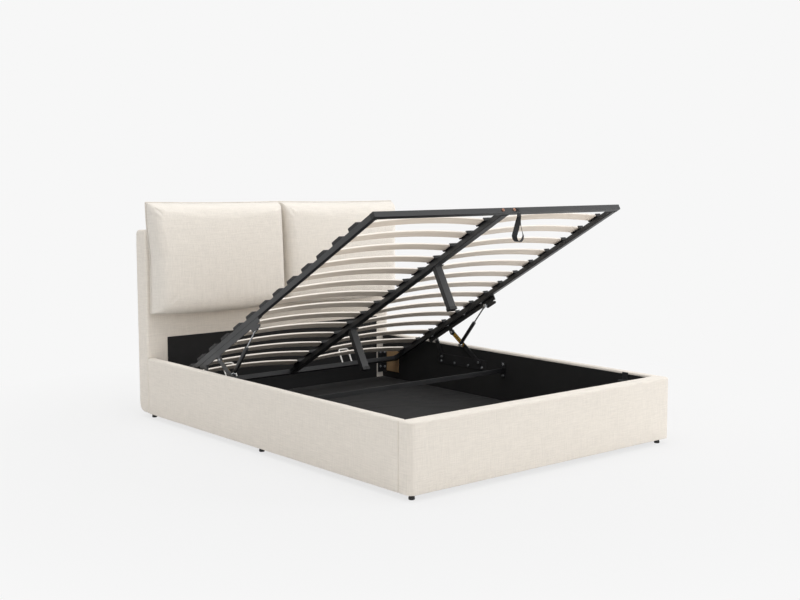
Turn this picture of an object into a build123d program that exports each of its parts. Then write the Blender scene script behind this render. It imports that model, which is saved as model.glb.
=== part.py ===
"""Upholstered ottoman storage bed for a 1500 x 2000 mattress, its slatted platform raised.

Frame: +X across the bed, +Y from foot to head, +Z up, origin on the floor under the middle.
All lengths are millimetres. The platform is drawn raised, as its gas struts hold it.
"""
from build123d import *
import math
import os

os.makedirs("parts", exist_ok=True)

# Overall sizes
inner_width = 1510
inner_length = 2005
side_wall = 40
foot_wall = 75
headboard_depth = 102
headboard_height = 969
rail_top = 313
rail_bottom = 25

# Clearances and cuts
overrun = 5
pivot_clearance = 0.3
seat_gap = 0.3
side_gap = 0.5

# Upholstered rails
board_thickness = 22
board_bottom = 30
board_cover = 13
foot_board_thickness = 40
foot_board_inset = 20
lining_thickness = 2
lining_lip = 11
cover_return = 24
rail_edge_radius = 9
rail_low_radius = 4
foot_corner_radius = 26

# Headboard
core_depth = 48
core_margin = 24
headboard_top_radius = 24
headboard_side_radius = 14
headboard_low_radius = 48
head_lining_left_margin = 76
head_lining_right_margin = 48
head_lining_top = 414

# Headboard cushions
cushion_width = 790
cushion_height = 567
cushion_depth = 128
cushion_bottom = 543
cushion_gap = 1
cushion_side_draw = 8
hook_strip_width = 50
hook_strip_length = 300
hook_strip_thickness = 2
hook_strip_margin = 120
hook_strip_low = 610

# Storage floor and feet
floor_top = 50
cloth_thickness = 1
panel_thickness = 3
panel_joint = 2
ledge_width = 22
centre_batten_width = 44
foot_radius = 13
foot_inset = 40
foot_edge = 2
centre_foot_pitch = 700
centre_foot_count = 3

# Brackets, pads and bolts inside the rails
corner_leg = 40
corner_thickness = 3
corner_bottom = 78
corner_height = 150
corner_bolt_margin = 32
bolt_radius = 7
bolt_height = 4.5
bolt_edge = 1.2
bolt_socket_radius = 3
bolt_socket_depth = 2.5
pad_length = 105
pad_thickness = 7
pad_bottom = 90
pad_height = 128
pad_head_gap = 45
rest_along = 112
rest_width = 34
rest_shelf = 38
rest_thickness = 3
rest_rise = 36

# Cross bar in the storage box
cross_bar_from_head = 1020
cross_bar_depth = 26
cross_bar_height = 24
cross_bar_wall = 3
cross_bar_drop = 96
cross_plate_width = 32
cross_plate_height = 82
cross_plate_thickness = 4
cross_bolt_spacing = 58

# Slatted platform, raised and closed
lift_angle = 29.2
raised_head_gap = 129
raised_head_height = 181.6
closed_head_gap = 52
closed_foot_gap = 48
closed_drop = 13
tube_width = 25
tube_height = 25
tube_wall = 1.5
tube_radius = 2
centre_width = 40
cap_thickness = 2
cap_plug = 12

# Slats and their holders
slat_count = 14
slat_first = 151
slat_last_gap = 107
slat_width = 53
slat_thickness = 8
slat_bow = 22
slat_lift = 1.5
holder_wall = 3
holder_lid = 2
holder_pocket = 30
holder_web = 6.5
holder_radius = 2

# Centre legs
leg_from_head = (1364, 620)
leg_width = 40
leg_depth = 25
leg_flange_width = 62
leg_flange_depth = 40
leg_flange_thickness = 3
leg_cap_height = 16
leg_cap_wall = 2
leg_floor_gap = 1

# Mattress retainers on the head bar
retainer_offset = 382
retainer_width = 72
retainer_height = 84
retainer_wire_radius = 4
retainer_bend = 12

# Pull strap and centre rail bolts on the foot tube
strap_offset = 60
strap_width = 25
strap_thickness = 2.4
strap_tab_height = 20
strap_gap = 0.4
strap_neck = 18
strap_loop_length = 112
strap_loop_half = 29
strap_screw_radius = 6.5
strap_screw_height = 3
joint_bolt_centre = 4
joint_bolt_offset = 34

# Lift mechanism: pivots on the platform, swings of its links, plates
arm_pivot_from_head = 527
arm_pivot_drop = 70
arm_swing_angle = 35.04
link_pivot_from_head = 387
link_pivot_drop = 57
link_swing_angle = 57.73
strut_top_from_head = 862
strut_top_drop = 56
strut_on_arm = 150
arm_thickness = 5
arm_width = 26
arm_eye_radius = 16
link_eye_radius = 13
pin_radius = 5
pin_head_radius = 8
pin_head_height = 4
doubler_width = 9
doubler_spacing = 14
doubler_thickness = 1.2
doubler_length = 76
doubler_pivot_gap = 19
washer_radius = 11
lift_bar_foot_margin = 68
lift_bar_head_margin = 57
lift_bar_thickness = 3.5
lift_bar_inset = 1
lift_bar_drop = 52
lift_bar_flange = 3
lug_radius = 15
lug_tip_reach = 58
lug_tip_drop = 64
lug_tip_radius = 7
lift_bolt_foot_inset = 100
lift_bolt_head_inset = 50
lift_bolt_count = 4
hinge_plate_thickness = 4
hinge_plate_foot_margin = 55
hinge_plate_head_margin = 39
hinge_plate_below = 39
hinge_plate_above = 16
hinge_plate_radius = 12
hinge_bolt_rise = 12
hinge_bolt_inset = 32
hinge_bolt_count = 4

# Gas struts
strut_inset = 17.5
cylinder_radius = 10
cylinder_wall = 1.5
cylinder_start = 14
rod_showing = 51
cylinder_end = 4
rod_radius = 4
piston_radius = 8
piston_length = 10
piston_rest = 40
strut_eye_radius = 9
strut_eye_width = 10
strut_stud_head = 3

# Places that follow from the sizes
half_inner = inner_width / 2
half_width = half_inner + side_wall
overall_length = foot_wall + inner_length + headboard_depth
foot_face = -overall_length / 2
foot_inner = foot_face + foot_wall
head_inner = foot_inner + inner_length
head_back = overall_length / 2
rail_height = rail_top - rail_bottom
board_top = rail_top - board_cover
lining_top = rail_top - lining_lip
closed_top = rail_top - closed_drop
half_platform = half_inner - 2 * side_gap - arm_thickness - hinge_plate_thickness
platform_length = inner_length - closed_head_gap - closed_foot_gap
lift_turn = math.radians(lift_angle)
platform_along = Vector(0, math.cos(lift_turn), -math.sin(lift_turn))
platform_up = Vector(0, math.sin(lift_turn), math.cos(lift_turn))
platform_head = Vector(0, head_inner - raised_head_gap, raised_head_height)
platform_corner = platform_head - platform_along * platform_length
platform = Plane(origin=platform_corner, x_dir=(1, 0, 0), z_dir=platform_up)


def raised(along, drop):
    """Y and Z of a point of the raised platform, along it from the foot and below its top."""
    place = platform_corner + platform_along * along - platform_up * drop
    return (place.Y, place.Z)


def closed(along, drop):
    """Y and Z of the same point with the platform closed."""
    return (foot_inner + closed_foot_gap + along, closed_top - drop)


def swing_centre(up, down, swing):
    """The fixed pivot, towards the foot, about which the upper end swings to the lower one."""
    chord = math.dist(up, down)
    rise = chord / 2 / math.tan(math.radians(swing) / 2)
    middle = ((up[0] + down[0]) / 2, (up[1] + down[1]) / 2)
    lean = ((down[1] - up[1]) / chord, (up[0] - down[0]) / chord)
    return (middle[0] + rise * lean[0], middle[1] + rise * lean[1])


def between(first, second, reach):
    """The point at a reach from the first point towards the second."""
    share = reach / math.dist(first, second)
    return (first[0] + (second[0] - first[0]) * share, first[1] + (second[1] - first[1]) * share)


def across(y):
    """A plane across the bed at one Y, with local X across and local Y up."""
    return Plane(origin=(0, y, 0), x_dir=(1, 0, 0), z_dir=(0, -1, 0))


def platform_across(along):
    """A plane across the platform at a distance from its foot edge."""
    place = platform_corner + platform_along * along
    return Plane(origin=place, x_dir=(1, 0, 0), z_dir=platform_along * -1)


def platform_side(x):
    """A plane beside the platform at one X, with local X along it and local Y up from it."""
    place = platform_corner + Vector(x, 0, 0)
    return Plane(origin=place, x_dir=platform_along, z_dir=(1, 0, 0))


def save(piece, name):
    """Label a finished piece and write its file."""
    piece.label = name
    export_step(piece, f"parts/{name}.step")


def mirrored(piece):
    """The left-hand twin of a right-hand piece."""
    with BuildPart() as twin:
        mirror(piece, about=Plane.YZ)
    return twin.part


def save_sides(right, name):
    """Write a right-hand piece and its left-hand twin as two pieces."""
    save(right, f"{name}_right")
    save(mirrored(right), f"{name}_left")


def save_both(right, name):
    """Write the right-hand and left-hand solids of one piece group together."""
    with BuildPart() as group:
        add(right)
        add(mirrored(right))
    save(group.part, name)


def corner_box(low, high):
    """A box between its lowest and highest corners, in the current part."""
    size = [top - bottom for bottom, top in zip(low, high)]
    middle = [(bottom + top) / 2 for bottom, top in zip(low, high)]
    with Locations(tuple(middle)):
        Box(*size)


def bolt_head(seat):
    """A socket head that stands on its seat plane."""
    with BuildPart() as head:
        with BuildSketch(seat):
            Circle(bolt_radius)
        extrude(amount=bolt_height)
        chamfer(head.edges().sort_by(Axis(seat.origin, seat.z_dir))[-1], bolt_edge)
        with BuildSketch(seat.offset(bolt_height)):
            RegularPolygon(bolt_socket_radius, side_count=6)
        extrude(amount=-bolt_socket_depth, mode=Mode.SUBTRACT)
    return head.part


# Headboard: wooden core, upholstered cover and black lining
core_front = head_inner + (headboard_depth - core_depth) / 2
core_low = (core_margin - half_width, core_front, rail_bottom)
core_high = (half_width - core_margin, core_front + core_depth, headboard_height - core_margin)

with BuildPart() as headboard_core:
    corner_box(core_low, core_high)
save(headboard_core.part, "headboard_core")

with BuildPart() as headboard_cover:
    corner_box((-half_width, head_inner, rail_bottom), (half_width, head_back, headboard_height))
    across_edges = headboard_cover.edges().filter_by(Axis.X).group_by(Axis.Z)
    fillet(across_edges[-1], headboard_top_radius)
    low_back = headboard_cover.edges().filter_by(Axis.X).group_by(Axis.Z)[0].sort_by(Axis.Y)[-1]
    fillet(low_back, headboard_low_radius)
    fillet(headboard_cover.edges().filter_by(Axis.Z), headboard_side_radius)
    add(headboard_core.part, mode=Mode.SUBTRACT)
save(headboard_cover.part, "headboard_cover")

with BuildPart() as head_lining:
    corner_box(
        (head_lining_left_margin - half_inner, head_inner - lining_thickness, floor_top),
        (half_inner - head_lining_right_margin, head_inner, head_lining_top),
    )
save(head_lining.part, "head_lining")


# Headboard cushions: flat at the back, crowned in front with the face leaning back towards its top,
# sides drawn in between the corners
cushion_back = head_inner - hook_strip_thickness
cushion_centre_x = cushion_gap / 2 + cushion_width / 2
cushion_centre_z = cushion_bottom + cushion_height / 2
cushion_depth_shares = (0, 0.08, 0.2, 0.4, 0.55, 0.69, 0.8, 0.88, 0.95, 1)
cushion_outline_shares = (0.985, 0.998, 1, 0.995, 0.985, 0.965, 0.93, 0.87, 0.77, 0.6)
cushion_top_drops = (0, 0, 0, 2, 6, 14, 30, 60, 110, 180)


def cushion_outline(y, share, drop):
    """The cushion's outline at one depth, its top lowered by the drop, each side drawn in as an arc."""
    half_w = share * cushion_width / 2
    half_h = share * cushion_height / 2
    left, right = cushion_centre_x - half_w, cushion_centre_x + half_w
    low, high = cushion_centre_z - half_h, cushion_centre_z + half_h - drop
    middle = (low + high) / 2
    draw = cushion_side_draw
    with BuildSketch(across(y)) as outline:
        with BuildLine():
            ThreePointArc((left, low), (cushion_centre_x, low + draw), (right, low))
            ThreePointArc((right, low), (right - draw, middle), (right, high))
            ThreePointArc((right, high), (cushion_centre_x, high - draw), (left, high))
            ThreePointArc((left, high), (left + draw, middle), (left, low))
        make_face()
    return outline.sketch


with BuildPart() as cushion:
    for depth_share, share, drop in zip(cushion_depth_shares, cushion_outline_shares, cushion_top_drops):
        add(cushion_outline(cushion_back - depth_share * cushion_depth, share, drop))
    loft(ruled=True)
save_sides(cushion.part, "cushion")

with BuildPart() as hook_strips:
    for side in (-1, 1):
        strip_x = cushion_centre_x + side * (cushion_width / 2 - hook_strip_margin)
        corner_box(
            (strip_x - hook_strip_width / 2, cushion_back, hook_strip_low),
            (strip_x + hook_strip_width / 2, head_inner, hook_strip_low + hook_strip_length),
        )
save_both(hook_strips.part, "hook_strips")


# Side rails: board, upholstered cover and inner lining, running from foot rail to headboard
board_inner = half_inner + lining_thickness

with BuildPart() as side_board:
    corner_box(
        (board_inner, foot_inner, board_bottom),
        (board_inner + board_thickness, head_inner, board_top),
    )
save_sides(side_board.part, "side_board")

with BuildPart() as side_cover:
    with BuildSketch(across(foot_inner)) as side_section:
        with Locations((half_inner, rail_bottom)):
            Rectangle(side_wall, rail_height, align=Align.MIN)
        fillet(side_section.vertices().group_by(Axis.Y)[-1], rail_edge_radius)
        fillet(side_section.vertices().group_by(Axis.Y)[0].sort_by(Axis.X)[-1], rail_low_radius)
        with Locations((board_inner, board_bottom)):
            Rectangle(board_thickness, board_top - board_bottom, align=Align.MIN, mode=Mode.SUBTRACT)
        with Locations((half_inner, rail_bottom)):
            Rectangle(
                lining_thickness, lining_top - rail_bottom, align=Align.MIN, mode=Mode.SUBTRACT
            )
            Rectangle(
                side_wall - cover_return, board_bottom - rail_bottom, align=Align.MIN, mode=Mode.SUBTRACT
            )
    extrude(amount=-inner_length)
save_sides(side_cover.part, "side_cover")

with BuildPart() as side_lining:
    corner_box((half_inner, foot_inner, board_bottom), (board_inner, head_inner, lining_top))
save_both(side_lining.part, "side_linings")


# Foot rail: board, upholstered cover with rounded ends, and lining
foot_board_face = foot_inner - lining_thickness
foot_board_low = (foot_board_inset - half_width, foot_board_face - foot_board_thickness, board_bottom)
foot_board_high = (half_width - foot_board_inset, foot_board_face, board_top)

with BuildPart() as foot_board:
    corner_box(foot_board_low, foot_board_high)
save(foot_board.part, "foot_board")

with BuildPart() as foot_cover:
    corner_box((-half_width, foot_face, rail_bottom), (half_width, foot_inner, rail_top))
    fillet(foot_cover.edges().filter_by(Axis.Z).group_by(Axis.Y)[0], foot_corner_radius)
    top_outline = foot_cover.faces().sort_by(Axis.Z)[-1].edges().sort_by(Axis.Y)
    fillet(top_outline, rail_edge_radius)
    add(foot_board.part, mode=Mode.SUBTRACT)
    with Locations((0, foot_inner, rail_bottom)):
        Box(
            inner_width,
            lining_thickness,
            lining_top - rail_bottom,
            align=(Align.CENTER, Align.MAX, Align.MIN),
            mode=Mode.SUBTRACT,
        )
        Box(
            inner_width,
            foot_board_thickness + lining_thickness - cover_return,
            board_bottom - rail_bottom,
            align=(Align.CENTER, Align.MAX, Align.MIN),
            mode=Mode.SUBTRACT,
        )
save(foot_cover.part, "foot_cover")

with BuildPart() as foot_lining:
    corner_box((-half_inner, foot_board_face, board_bottom), (half_inner, foot_inner, lining_top))
save(foot_lining.part, "foot_lining")


# Storage floor: battens, two hardboard panels and the cloth over them
panel_top = floor_top - cloth_thickness
batten_top = panel_top - panel_thickness

with BuildPart() as floor_battens:
    for side in (-1, 1):
        ledge_edges = sorted((side * half_inner, side * (half_inner - ledge_width)))
        corner_box((ledge_edges[0], foot_inner, rail_bottom), (ledge_edges[1], head_inner, batten_top))
    corner_box(
        (-centre_batten_width / 2, foot_inner, rail_bottom),
        (centre_batten_width / 2, head_inner, batten_top),
    )
save(floor_battens.part, "floor_battens")

with BuildPart() as floor_panel:
    corner_box((panel_joint / 2, foot_inner, batten_top), (half_inner, head_inner, panel_top))
save_both(floor_panel.part, "floor_panels")

with BuildPart() as floor_cloth:
    corner_box(
        (-half_inner, foot_inner, panel_top),
        (half_inner, head_inner - lining_thickness, floor_top),
    )
save(floor_cloth.part, "floor_cloth")

foot_x = half_width - foot_inset
foot_rows = (foot_face + foot_inset, 0, head_back - foot_inset - headboard_low_radius)
foot_places = [(side * foot_x, row) for side in (-1, 1) for row in foot_rows]
first_centre_foot = -centre_foot_pitch * (centre_foot_count - 1) / 2
foot_places += [(0, first_centre_foot + k * centre_foot_pitch) for k in range(centre_foot_count)]

with BuildPart() as feet:
    with Locations(*[(x, y, 0) for x, y in foot_places]):
        Cylinder(foot_radius, rail_bottom, align=(Align.CENTER, Align.CENTER, Align.MIN))
    fillet(feet.edges().group_by(Axis.Z)[0], foot_edge)
save(feet.part, "feet")


# Corner brackets, plywood pads and platform rests inside the rails
bracket_head = head_inner - lining_thickness

with BuildPart() as corner_brackets:
    for corner_y, inward in ((foot_inner, 1), (bracket_head, -1)):
        leg_ends = sorted((corner_y, corner_y + inward * corner_leg))
        plate_ends = sorted((corner_y, corner_y + inward * corner_thickness))
        corner_box(
            (half_inner - corner_thickness, leg_ends[0], corner_bottom),
            (half_inner, leg_ends[1], corner_bottom + corner_height),
        )
        corner_box(
            (half_inner - corner_leg, plate_ends[0], corner_bottom),
            (half_inner, plate_ends[1], corner_bottom + corner_height),
        )
save_both(corner_brackets.part, "corner_brackets")

with BuildPart() as head_pads:
    pad_end = head_inner - pad_head_gap
    corner_box(
        (half_inner - pad_thickness, pad_end - pad_length, pad_bottom),
        (half_inner, pad_end, pad_bottom + pad_height),
    )
save_both(head_pads.part, "head_pads")

rest_y = foot_inner + closed_foot_gap + rest_along
rest_top = closed_top - tube_height - seat_gap

with BuildPart() as platform_rests:
    corner_box(
        (half_inner - rest_thickness, rest_y - rest_width / 2, rest_top - rest_thickness),
        (half_inner, rest_y + rest_width / 2, rest_top + rest_rise),
    )
    corner_box(
        (half_inner - rest_shelf, rest_y - rest_width / 2, rest_top - rest_thickness),
        (half_inner, rest_y + rest_width / 2, rest_top),
    )
save_both(platform_rests.part, "platform_rests")


# Cross bar that ties the side rails, an angle between two plates
cross_y = head_inner - cross_bar_from_head
cross_end = half_inner - cross_plate_thickness
cross_bar_bottom = closed_top - cross_bar_drop

with BuildPart() as cross_bar:
    with BuildSketch(Plane.YZ.offset(-cross_end)):
        with Locations((cross_y - cross_bar_depth / 2, cross_bar_bottom)):
            Rectangle(cross_bar_depth, cross_bar_wall, align=Align.MIN)
            Rectangle(cross_bar_wall, cross_bar_height, align=Align.MIN)
    extrude(amount=2 * cross_end)
save(cross_bar.part, "cross_bar")

cross_plate_z = cross_bar_bottom + cross_bar_height / 2

with BuildPart() as cross_plate:
    corner_box(
        (cross_end, cross_y - cross_plate_width / 2, cross_plate_z - cross_plate_height / 2),
        (half_inner, cross_y + cross_plate_width / 2, cross_plate_z + cross_plate_height / 2),
    )
save_both(cross_plate.part, "cross_bar_plates")


# Platform frame: side tubes between a foot tube and a head bar, with a centre rail
def tube_section():
    """A hollow rectangular tube section with its top on local zero."""
    with BuildSketch() as section:
        with Locations((0, -tube_height / 2)):
            RectangleRounded(tube_width, tube_height, tube_radius)
            Rectangle(tube_width - 2 * tube_wall, tube_height - 2 * tube_wall, mode=Mode.SUBTRACT)
    return section.sketch


def cross_tube(along):
    """A tube across the whole platform, centred at a distance along it."""
    with BuildPart() as tube:
        with BuildSketch(platform_side(-half_platform + cap_thickness)) as section:
            with Locations((along, 0)):
                add(tube_section())
        extrude(amount=2 * (half_platform - cap_thickness))
    return tube.part


foot_tube_along = tube_width / 2
head_bar_along = platform_length - tube_width / 2
side_length = platform_length - 2 * tube_width

save(cross_tube(foot_tube_along), "platform_foot_tube")
save(cross_tube(head_bar_along), "platform_head_bar")

with BuildPart() as side_tube:
    with BuildSketch(platform_across(tube_width)):
        with Locations((half_platform - tube_width / 2, 0)):
            add(tube_section())
    extrude(amount=-side_length)
save_sides(side_tube.part, "platform_side_tube")

with BuildPart() as centre_rail:
    with BuildSketch(platform_across(tube_width)):
        with Locations((0, -tube_height / 2)):
            RectangleRounded(centre_width, tube_height, tube_radius)
            Rectangle(centre_width - 2 * tube_wall, tube_height - 2 * tube_wall, mode=Mode.SUBTRACT)
    extrude(amount=-side_length)
save(centre_rail.part, "platform_centre_rail")

with BuildPart() as tube_cap:
    with BuildSketch(platform_side(half_platform - cap_thickness)):
        with Locations((foot_tube_along, -tube_height / 2), (head_bar_along, -tube_height / 2)):
            RectangleRounded(tube_width, tube_height, tube_radius)
    extrude(amount=cap_thickness)
    with BuildSketch(platform_side(half_platform - cap_thickness)):
        with Locations((foot_tube_along, -tube_height / 2), (head_bar_along, -tube_height / 2)):
            Rectangle(tube_width - 2 * tube_wall, tube_height - 2 * tube_wall)
    extrude(amount=-cap_plug)
save_both(tube_cap.part, "tube_caps")


# Bowed slats and the plastic holders at their ends
slat_inner = holder_web / 2 + side_gap
slat_outer = half_platform - holder_wall - side_gap
slat_middle = (slat_inner + slat_outer) / 2
slat_pitch = (platform_length - slat_first - slat_last_gap) / (slat_count - 1)
slat_places = [slat_first + k * slat_pitch for k in range(slat_count)]

with BuildPart() as slats:
    for place in slat_places:
        with BuildSketch(platform_across(place)):
            with BuildLine():
                low_inner, low_outer = (slat_inner, slat_lift), (slat_outer, slat_lift)
                top_inner = (slat_inner, slat_lift + slat_thickness)
                top_outer = (slat_outer, slat_lift + slat_thickness)
                low_middle = (slat_middle, slat_lift + slat_bow)
                top_middle = (slat_middle, slat_lift + slat_bow + slat_thickness)
                ThreePointArc(low_inner, low_middle, low_outer)
                Line(low_outer, top_outer)
                ThreePointArc(top_outer, top_middle, top_inner)
                Line(top_inner, low_inner)
            make_face()
        extrude(amount=slat_width / 2, both=True)
save_sides(slats.part, "slats")

slat_rise_share = 4 * holder_pocket / (slat_outer - slat_inner)
pocket_low = slat_lift - seat_gap
pocket_height = slat_thickness + slat_bow * slat_rise_share + 2 * seat_gap
holder_height = pocket_low + pocket_height + holder_lid
holder_width = slat_width + 2 * (seat_gap + holder_wall)


def holder(place, half_span, middle, pocket_offsets):
    """A slat holder across the platform, with a pocket cut at each offset from its middle."""
    with BuildPart() as block:
        with BuildSketch(platform_across(place)):
            with Locations((middle, holder_height / 2)):
                Rectangle(2 * half_span, holder_height)
        extrude(amount=holder_width / 2, both=True)
        top = block.faces().sort_by(Axis(platform_corner, platform_up))[-1]
        fillet(top.edges(), holder_radius)
        for offset in pocket_offsets:
            with BuildSketch(platform_across(place)):
                with Locations((middle + offset, pocket_low + pocket_height / 2)):
                    Rectangle(holder_pocket + overrun, pocket_height)
            extrude(amount=slat_width / 2 + seat_gap, both=True, mode=Mode.SUBTRACT)
    return block.part


side_half_span = (holder_wall + holder_pocket) / 2
side_middle = half_platform - side_half_span
side_pocket = -(holder_wall + overrun) / 2
centre_half_span = holder_web / 2 + holder_pocket
centre_pocket = (holder_web + holder_pocket + overrun) / 2

with BuildPart() as side_holders:
    for place in slat_places:
        add(holder(place, side_half_span, side_middle, (side_pocket,)))
save_sides(side_holders.part, "slat_holders")

with BuildPart() as centre_holders:
    for place in slat_places:
        add(holder(place, centre_half_span, 0, (-centre_pocket, centre_pocket)))
save(centre_holders.part, "centre_slat_holders")


# Centre legs that stand on the storage floor when the platform is closed
leg_places = [platform_length - gap for gap in leg_from_head]
leg_foot = floor_top + leg_floor_gap - closed_top
leg_end = leg_foot + leg_cap_wall

with BuildPart(platform) as legs:
    for place in leg_places:
        with Locations((0, place, -tube_height)):
            Box(
                leg_flange_width,
                leg_flange_depth,
                leg_flange_thickness,
                align=(Align.CENTER, Align.CENTER, Align.MAX),
            )
            leg_drop = -tube_height - leg_end
            Box(leg_width, leg_depth, leg_drop, align=(Align.CENTER, Align.CENTER, Align.MAX))
        with Locations((0, place, leg_end)):
            Box(
                leg_width - 2 * tube_wall,
                leg_depth - 2 * tube_wall,
                leg_drop - leg_flange_thickness,
                align=(Align.CENTER, Align.CENTER, Align.MIN),
                mode=Mode.SUBTRACT,
            )
save(legs.part, "centre_legs")

with BuildPart(platform) as leg_caps:
    with Locations(*[(0, place, leg_foot) for place in leg_places]):
        Box(
            leg_width + 2 * leg_cap_wall,
            leg_depth + 2 * leg_cap_wall,
            leg_cap_height,
            align=(Align.CENTER, Align.CENTER, Align.MIN),
        )
    with Locations(*[(0, place, leg_end) for place in leg_places]):
        Box(
            leg_width,
            leg_depth,
            leg_cap_height,
            align=(Align.CENTER, Align.CENTER, Align.MIN),
            mode=Mode.SUBTRACT,
        )
save(leg_caps.part, "leg_caps")


# Wire retainers that stop the mattress at the head bar
retainer_half = retainer_width / 2 - retainer_wire_radius
retainer_top = retainer_height - retainer_wire_radius

with BuildPart() as retainer:
    with BuildLine(platform_across(head_bar_along)):
        FilletPolyline(
            (retainer_offset - retainer_half, 0),
            (retainer_offset - retainer_half, retainer_top),
            (retainer_offset + retainer_half, retainer_top),
            (retainer_offset + retainer_half, 0),
            radius=retainer_bend,
        )
    hoop_start = platform_corner + platform_along * head_bar_along
    hoop_start += Vector(retainer_offset - retainer_half, 0, 0)
    with BuildSketch(Plane(origin=hoop_start, x_dir=(1, 0, 0), z_dir=platform_up)):
        Circle(retainer_wire_radius)
    sweep()
save_both(retainer.part, "mattress_retainers")


# Lift mechanism: the fixed pivots are found from the raised and closed platform
arm_pivot_along = platform_length - arm_pivot_from_head
link_pivot_along = platform_length - link_pivot_from_head
strut_top_along = platform_length - strut_top_from_head
arm_tip = raised(arm_pivot_along, arm_pivot_drop)
arm_low_tip = closed(arm_pivot_along, arm_pivot_drop)
arm_base = swing_centre(arm_tip, arm_low_tip, arm_swing_angle)
link_tip = raised(link_pivot_along, link_pivot_drop)
link_base = swing_centre(link_tip, closed(link_pivot_along, link_pivot_drop), link_swing_angle)
strut_tip = raised(strut_top_along, strut_top_drop)
strut_base = between(arm_base, arm_tip, strut_on_arm)
arm_face = half_platform + side_gap
arm_back = arm_face + arm_thickness
hinge_plate_face = half_inner - hinge_plate_thickness
lift_bar_back = half_platform - lift_bar_inset
lift_bar_face = lift_bar_back - lift_bar_thickness
lift_bar_start = strut_top_along - lift_bar_foot_margin
lift_bar_length = link_pivot_along + lift_bar_head_margin - lift_bar_start


def disc(place, x_low, x_high, radius):
    """A round pin, head or eye across the bed between two X planes."""
    with BuildPart() as pin:
        with BuildSketch(Plane.YZ.offset(x_low)):
            with Locations(place):
                Circle(radius)
        extrude(amount=x_high - x_low)
    return pin.part


def link_bar(first, second, eye_radius, bar_width):
    """A flat link with round eyes, each drilled for a pin with running clearance."""
    middle = ((first[0] + second[0]) / 2, (first[1] + second[1]) / 2)
    slope = math.degrees(math.atan2(second[1] - first[1], second[0] - first[0]))
    with BuildPart() as link:
        with BuildSketch(Plane.YZ.offset(arm_face)):
            with Locations(first, second):
                Circle(eye_radius)
            with Locations(Location(middle, slope)):
                Rectangle(math.dist(first, second), bar_width)
            with Locations(first, second):
                Circle(pin_radius + pivot_clearance, mode=Mode.SUBTRACT)
        extrude(amount=arm_thickness)
    return link.part


with BuildPart() as lift_arm:
    add(link_bar(arm_base, arm_tip, arm_eye_radius, arm_width))
save_sides(lift_arm.part, "lift_arm")

with BuildPart() as rear_link:
    add(link_bar(link_base, link_tip, link_eye_radius, 2 * link_eye_radius))
    link_pin_end = lift_bar_back + seat_gap
    add(disc(link_tip, link_pin_end, arm_back, pin_radius + pivot_clearance))
save_both(rear_link.part, "rear_links")

arm_slope = math.degrees(math.atan2(arm_tip[1] - arm_base[1], arm_tip[0] - arm_base[0]))
doubler_middle = between(arm_tip, arm_base, doubler_pivot_gap + doubler_length / 2)

with BuildPart() as arm_doublers:
    with BuildSketch(Plane.YZ.offset(arm_face - doubler_thickness)):
        with Locations(Location(doubler_middle, arm_slope)):
            with GridLocations(0, doubler_spacing, 1, 2):
                Rectangle(doubler_length, doubler_width)
        with Locations(strut_base):
            Circle(washer_radius)
    extrude(amount=doubler_thickness)
save_both(arm_doublers.part, "arm_doublers")

hinge_plate_start = arm_base[0] - hinge_plate_foot_margin
hinge_plate_end = link_base[0] + hinge_plate_head_margin
hinge_plate_bottom = arm_base[1] - hinge_plate_below
hinge_plate_top = arm_base[1] + hinge_plate_above

with BuildPart() as hinge_plate:
    with BuildSketch(Plane.YZ.offset(hinge_plate_face)):
        with Locations((hinge_plate_start, hinge_plate_bottom)):
            Rectangle(
                hinge_plate_end - hinge_plate_start,
                hinge_plate_top - hinge_plate_bottom,
                align=Align.MIN,
            )
    extrude(amount=hinge_plate_thickness)
    fillet(hinge_plate.edges().filter_by(Axis.X), hinge_plate_radius)
save_both(hinge_plate.part, "hinge_plates")

pin_head_back = arm_face - seat_gap

with BuildPart() as hinge_pins:
    for pivot in (arm_base, link_base):
        add(disc(pivot, pin_head_back, hinge_plate_face, pin_radius))
        add(disc(pivot, pin_head_back - pin_head_height, pin_head_back, pin_head_radius))
save_both(hinge_pins.part, "hinge_pins")

with BuildPart() as lift_bar:
    with BuildSketch(platform_side(lift_bar_face)):
        with Locations((lift_bar_start, -lift_bar_drop)):
            Rectangle(lift_bar_length, lift_bar_drop - tube_height, align=Align.MIN)
        for pivot_along, pivot_drop in (
            (arm_pivot_along, arm_pivot_drop),
            (link_pivot_along, link_pivot_drop),
            (strut_top_along, strut_top_drop),
        ):
            with Locations((pivot_along, -pivot_drop)):
                Circle(lug_radius)
                Rectangle(
                    2 * lug_radius, pivot_drop - tube_height, align=(Align.CENTER, Align.MIN)
                )
        with BuildSketch(mode=Mode.PRIVATE) as tip:
            with Locations((strut_top_along - lug_tip_reach, -lug_tip_drop)):
                Circle(lug_tip_radius)
            with Locations((strut_top_along, -strut_top_drop), (strut_top_along, -lift_bar_drop)):
                Circle(lug_radius)
            make_hull()
        add(tip.sketch)
        with Locations((arm_pivot_along, -arm_pivot_drop)):
            Circle(pin_radius, mode=Mode.SUBTRACT)
    extrude(amount=lift_bar_thickness)
    flange_low = tube_height + lift_bar_flange
    flange_width = tube_width - lift_bar_inset - lift_bar_thickness
    with BuildSketch(platform_side(half_platform - tube_width)):
        with Locations((lift_bar_start, -flange_low)):
            Rectangle(lift_bar_length, lift_bar_flange, align=Align.MIN)
    extrude(amount=flange_width)
save_both(lift_bar.part, "lift_bars")

strut_x = lift_bar_face - strut_inset
stud_head_face = strut_x - strut_eye_width / 2 - seat_gap

with BuildPart() as platform_pins:
    add(disc(arm_tip, lift_bar_face, arm_back, pin_radius))
    add(disc(arm_tip, lift_bar_face - pin_head_height, lift_bar_face, pin_head_radius))
    add(disc(link_tip, lift_bar_face - pin_head_height, lift_bar_face, pin_head_radius))
save_both(platform_pins.part, "platform_pins")

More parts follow.
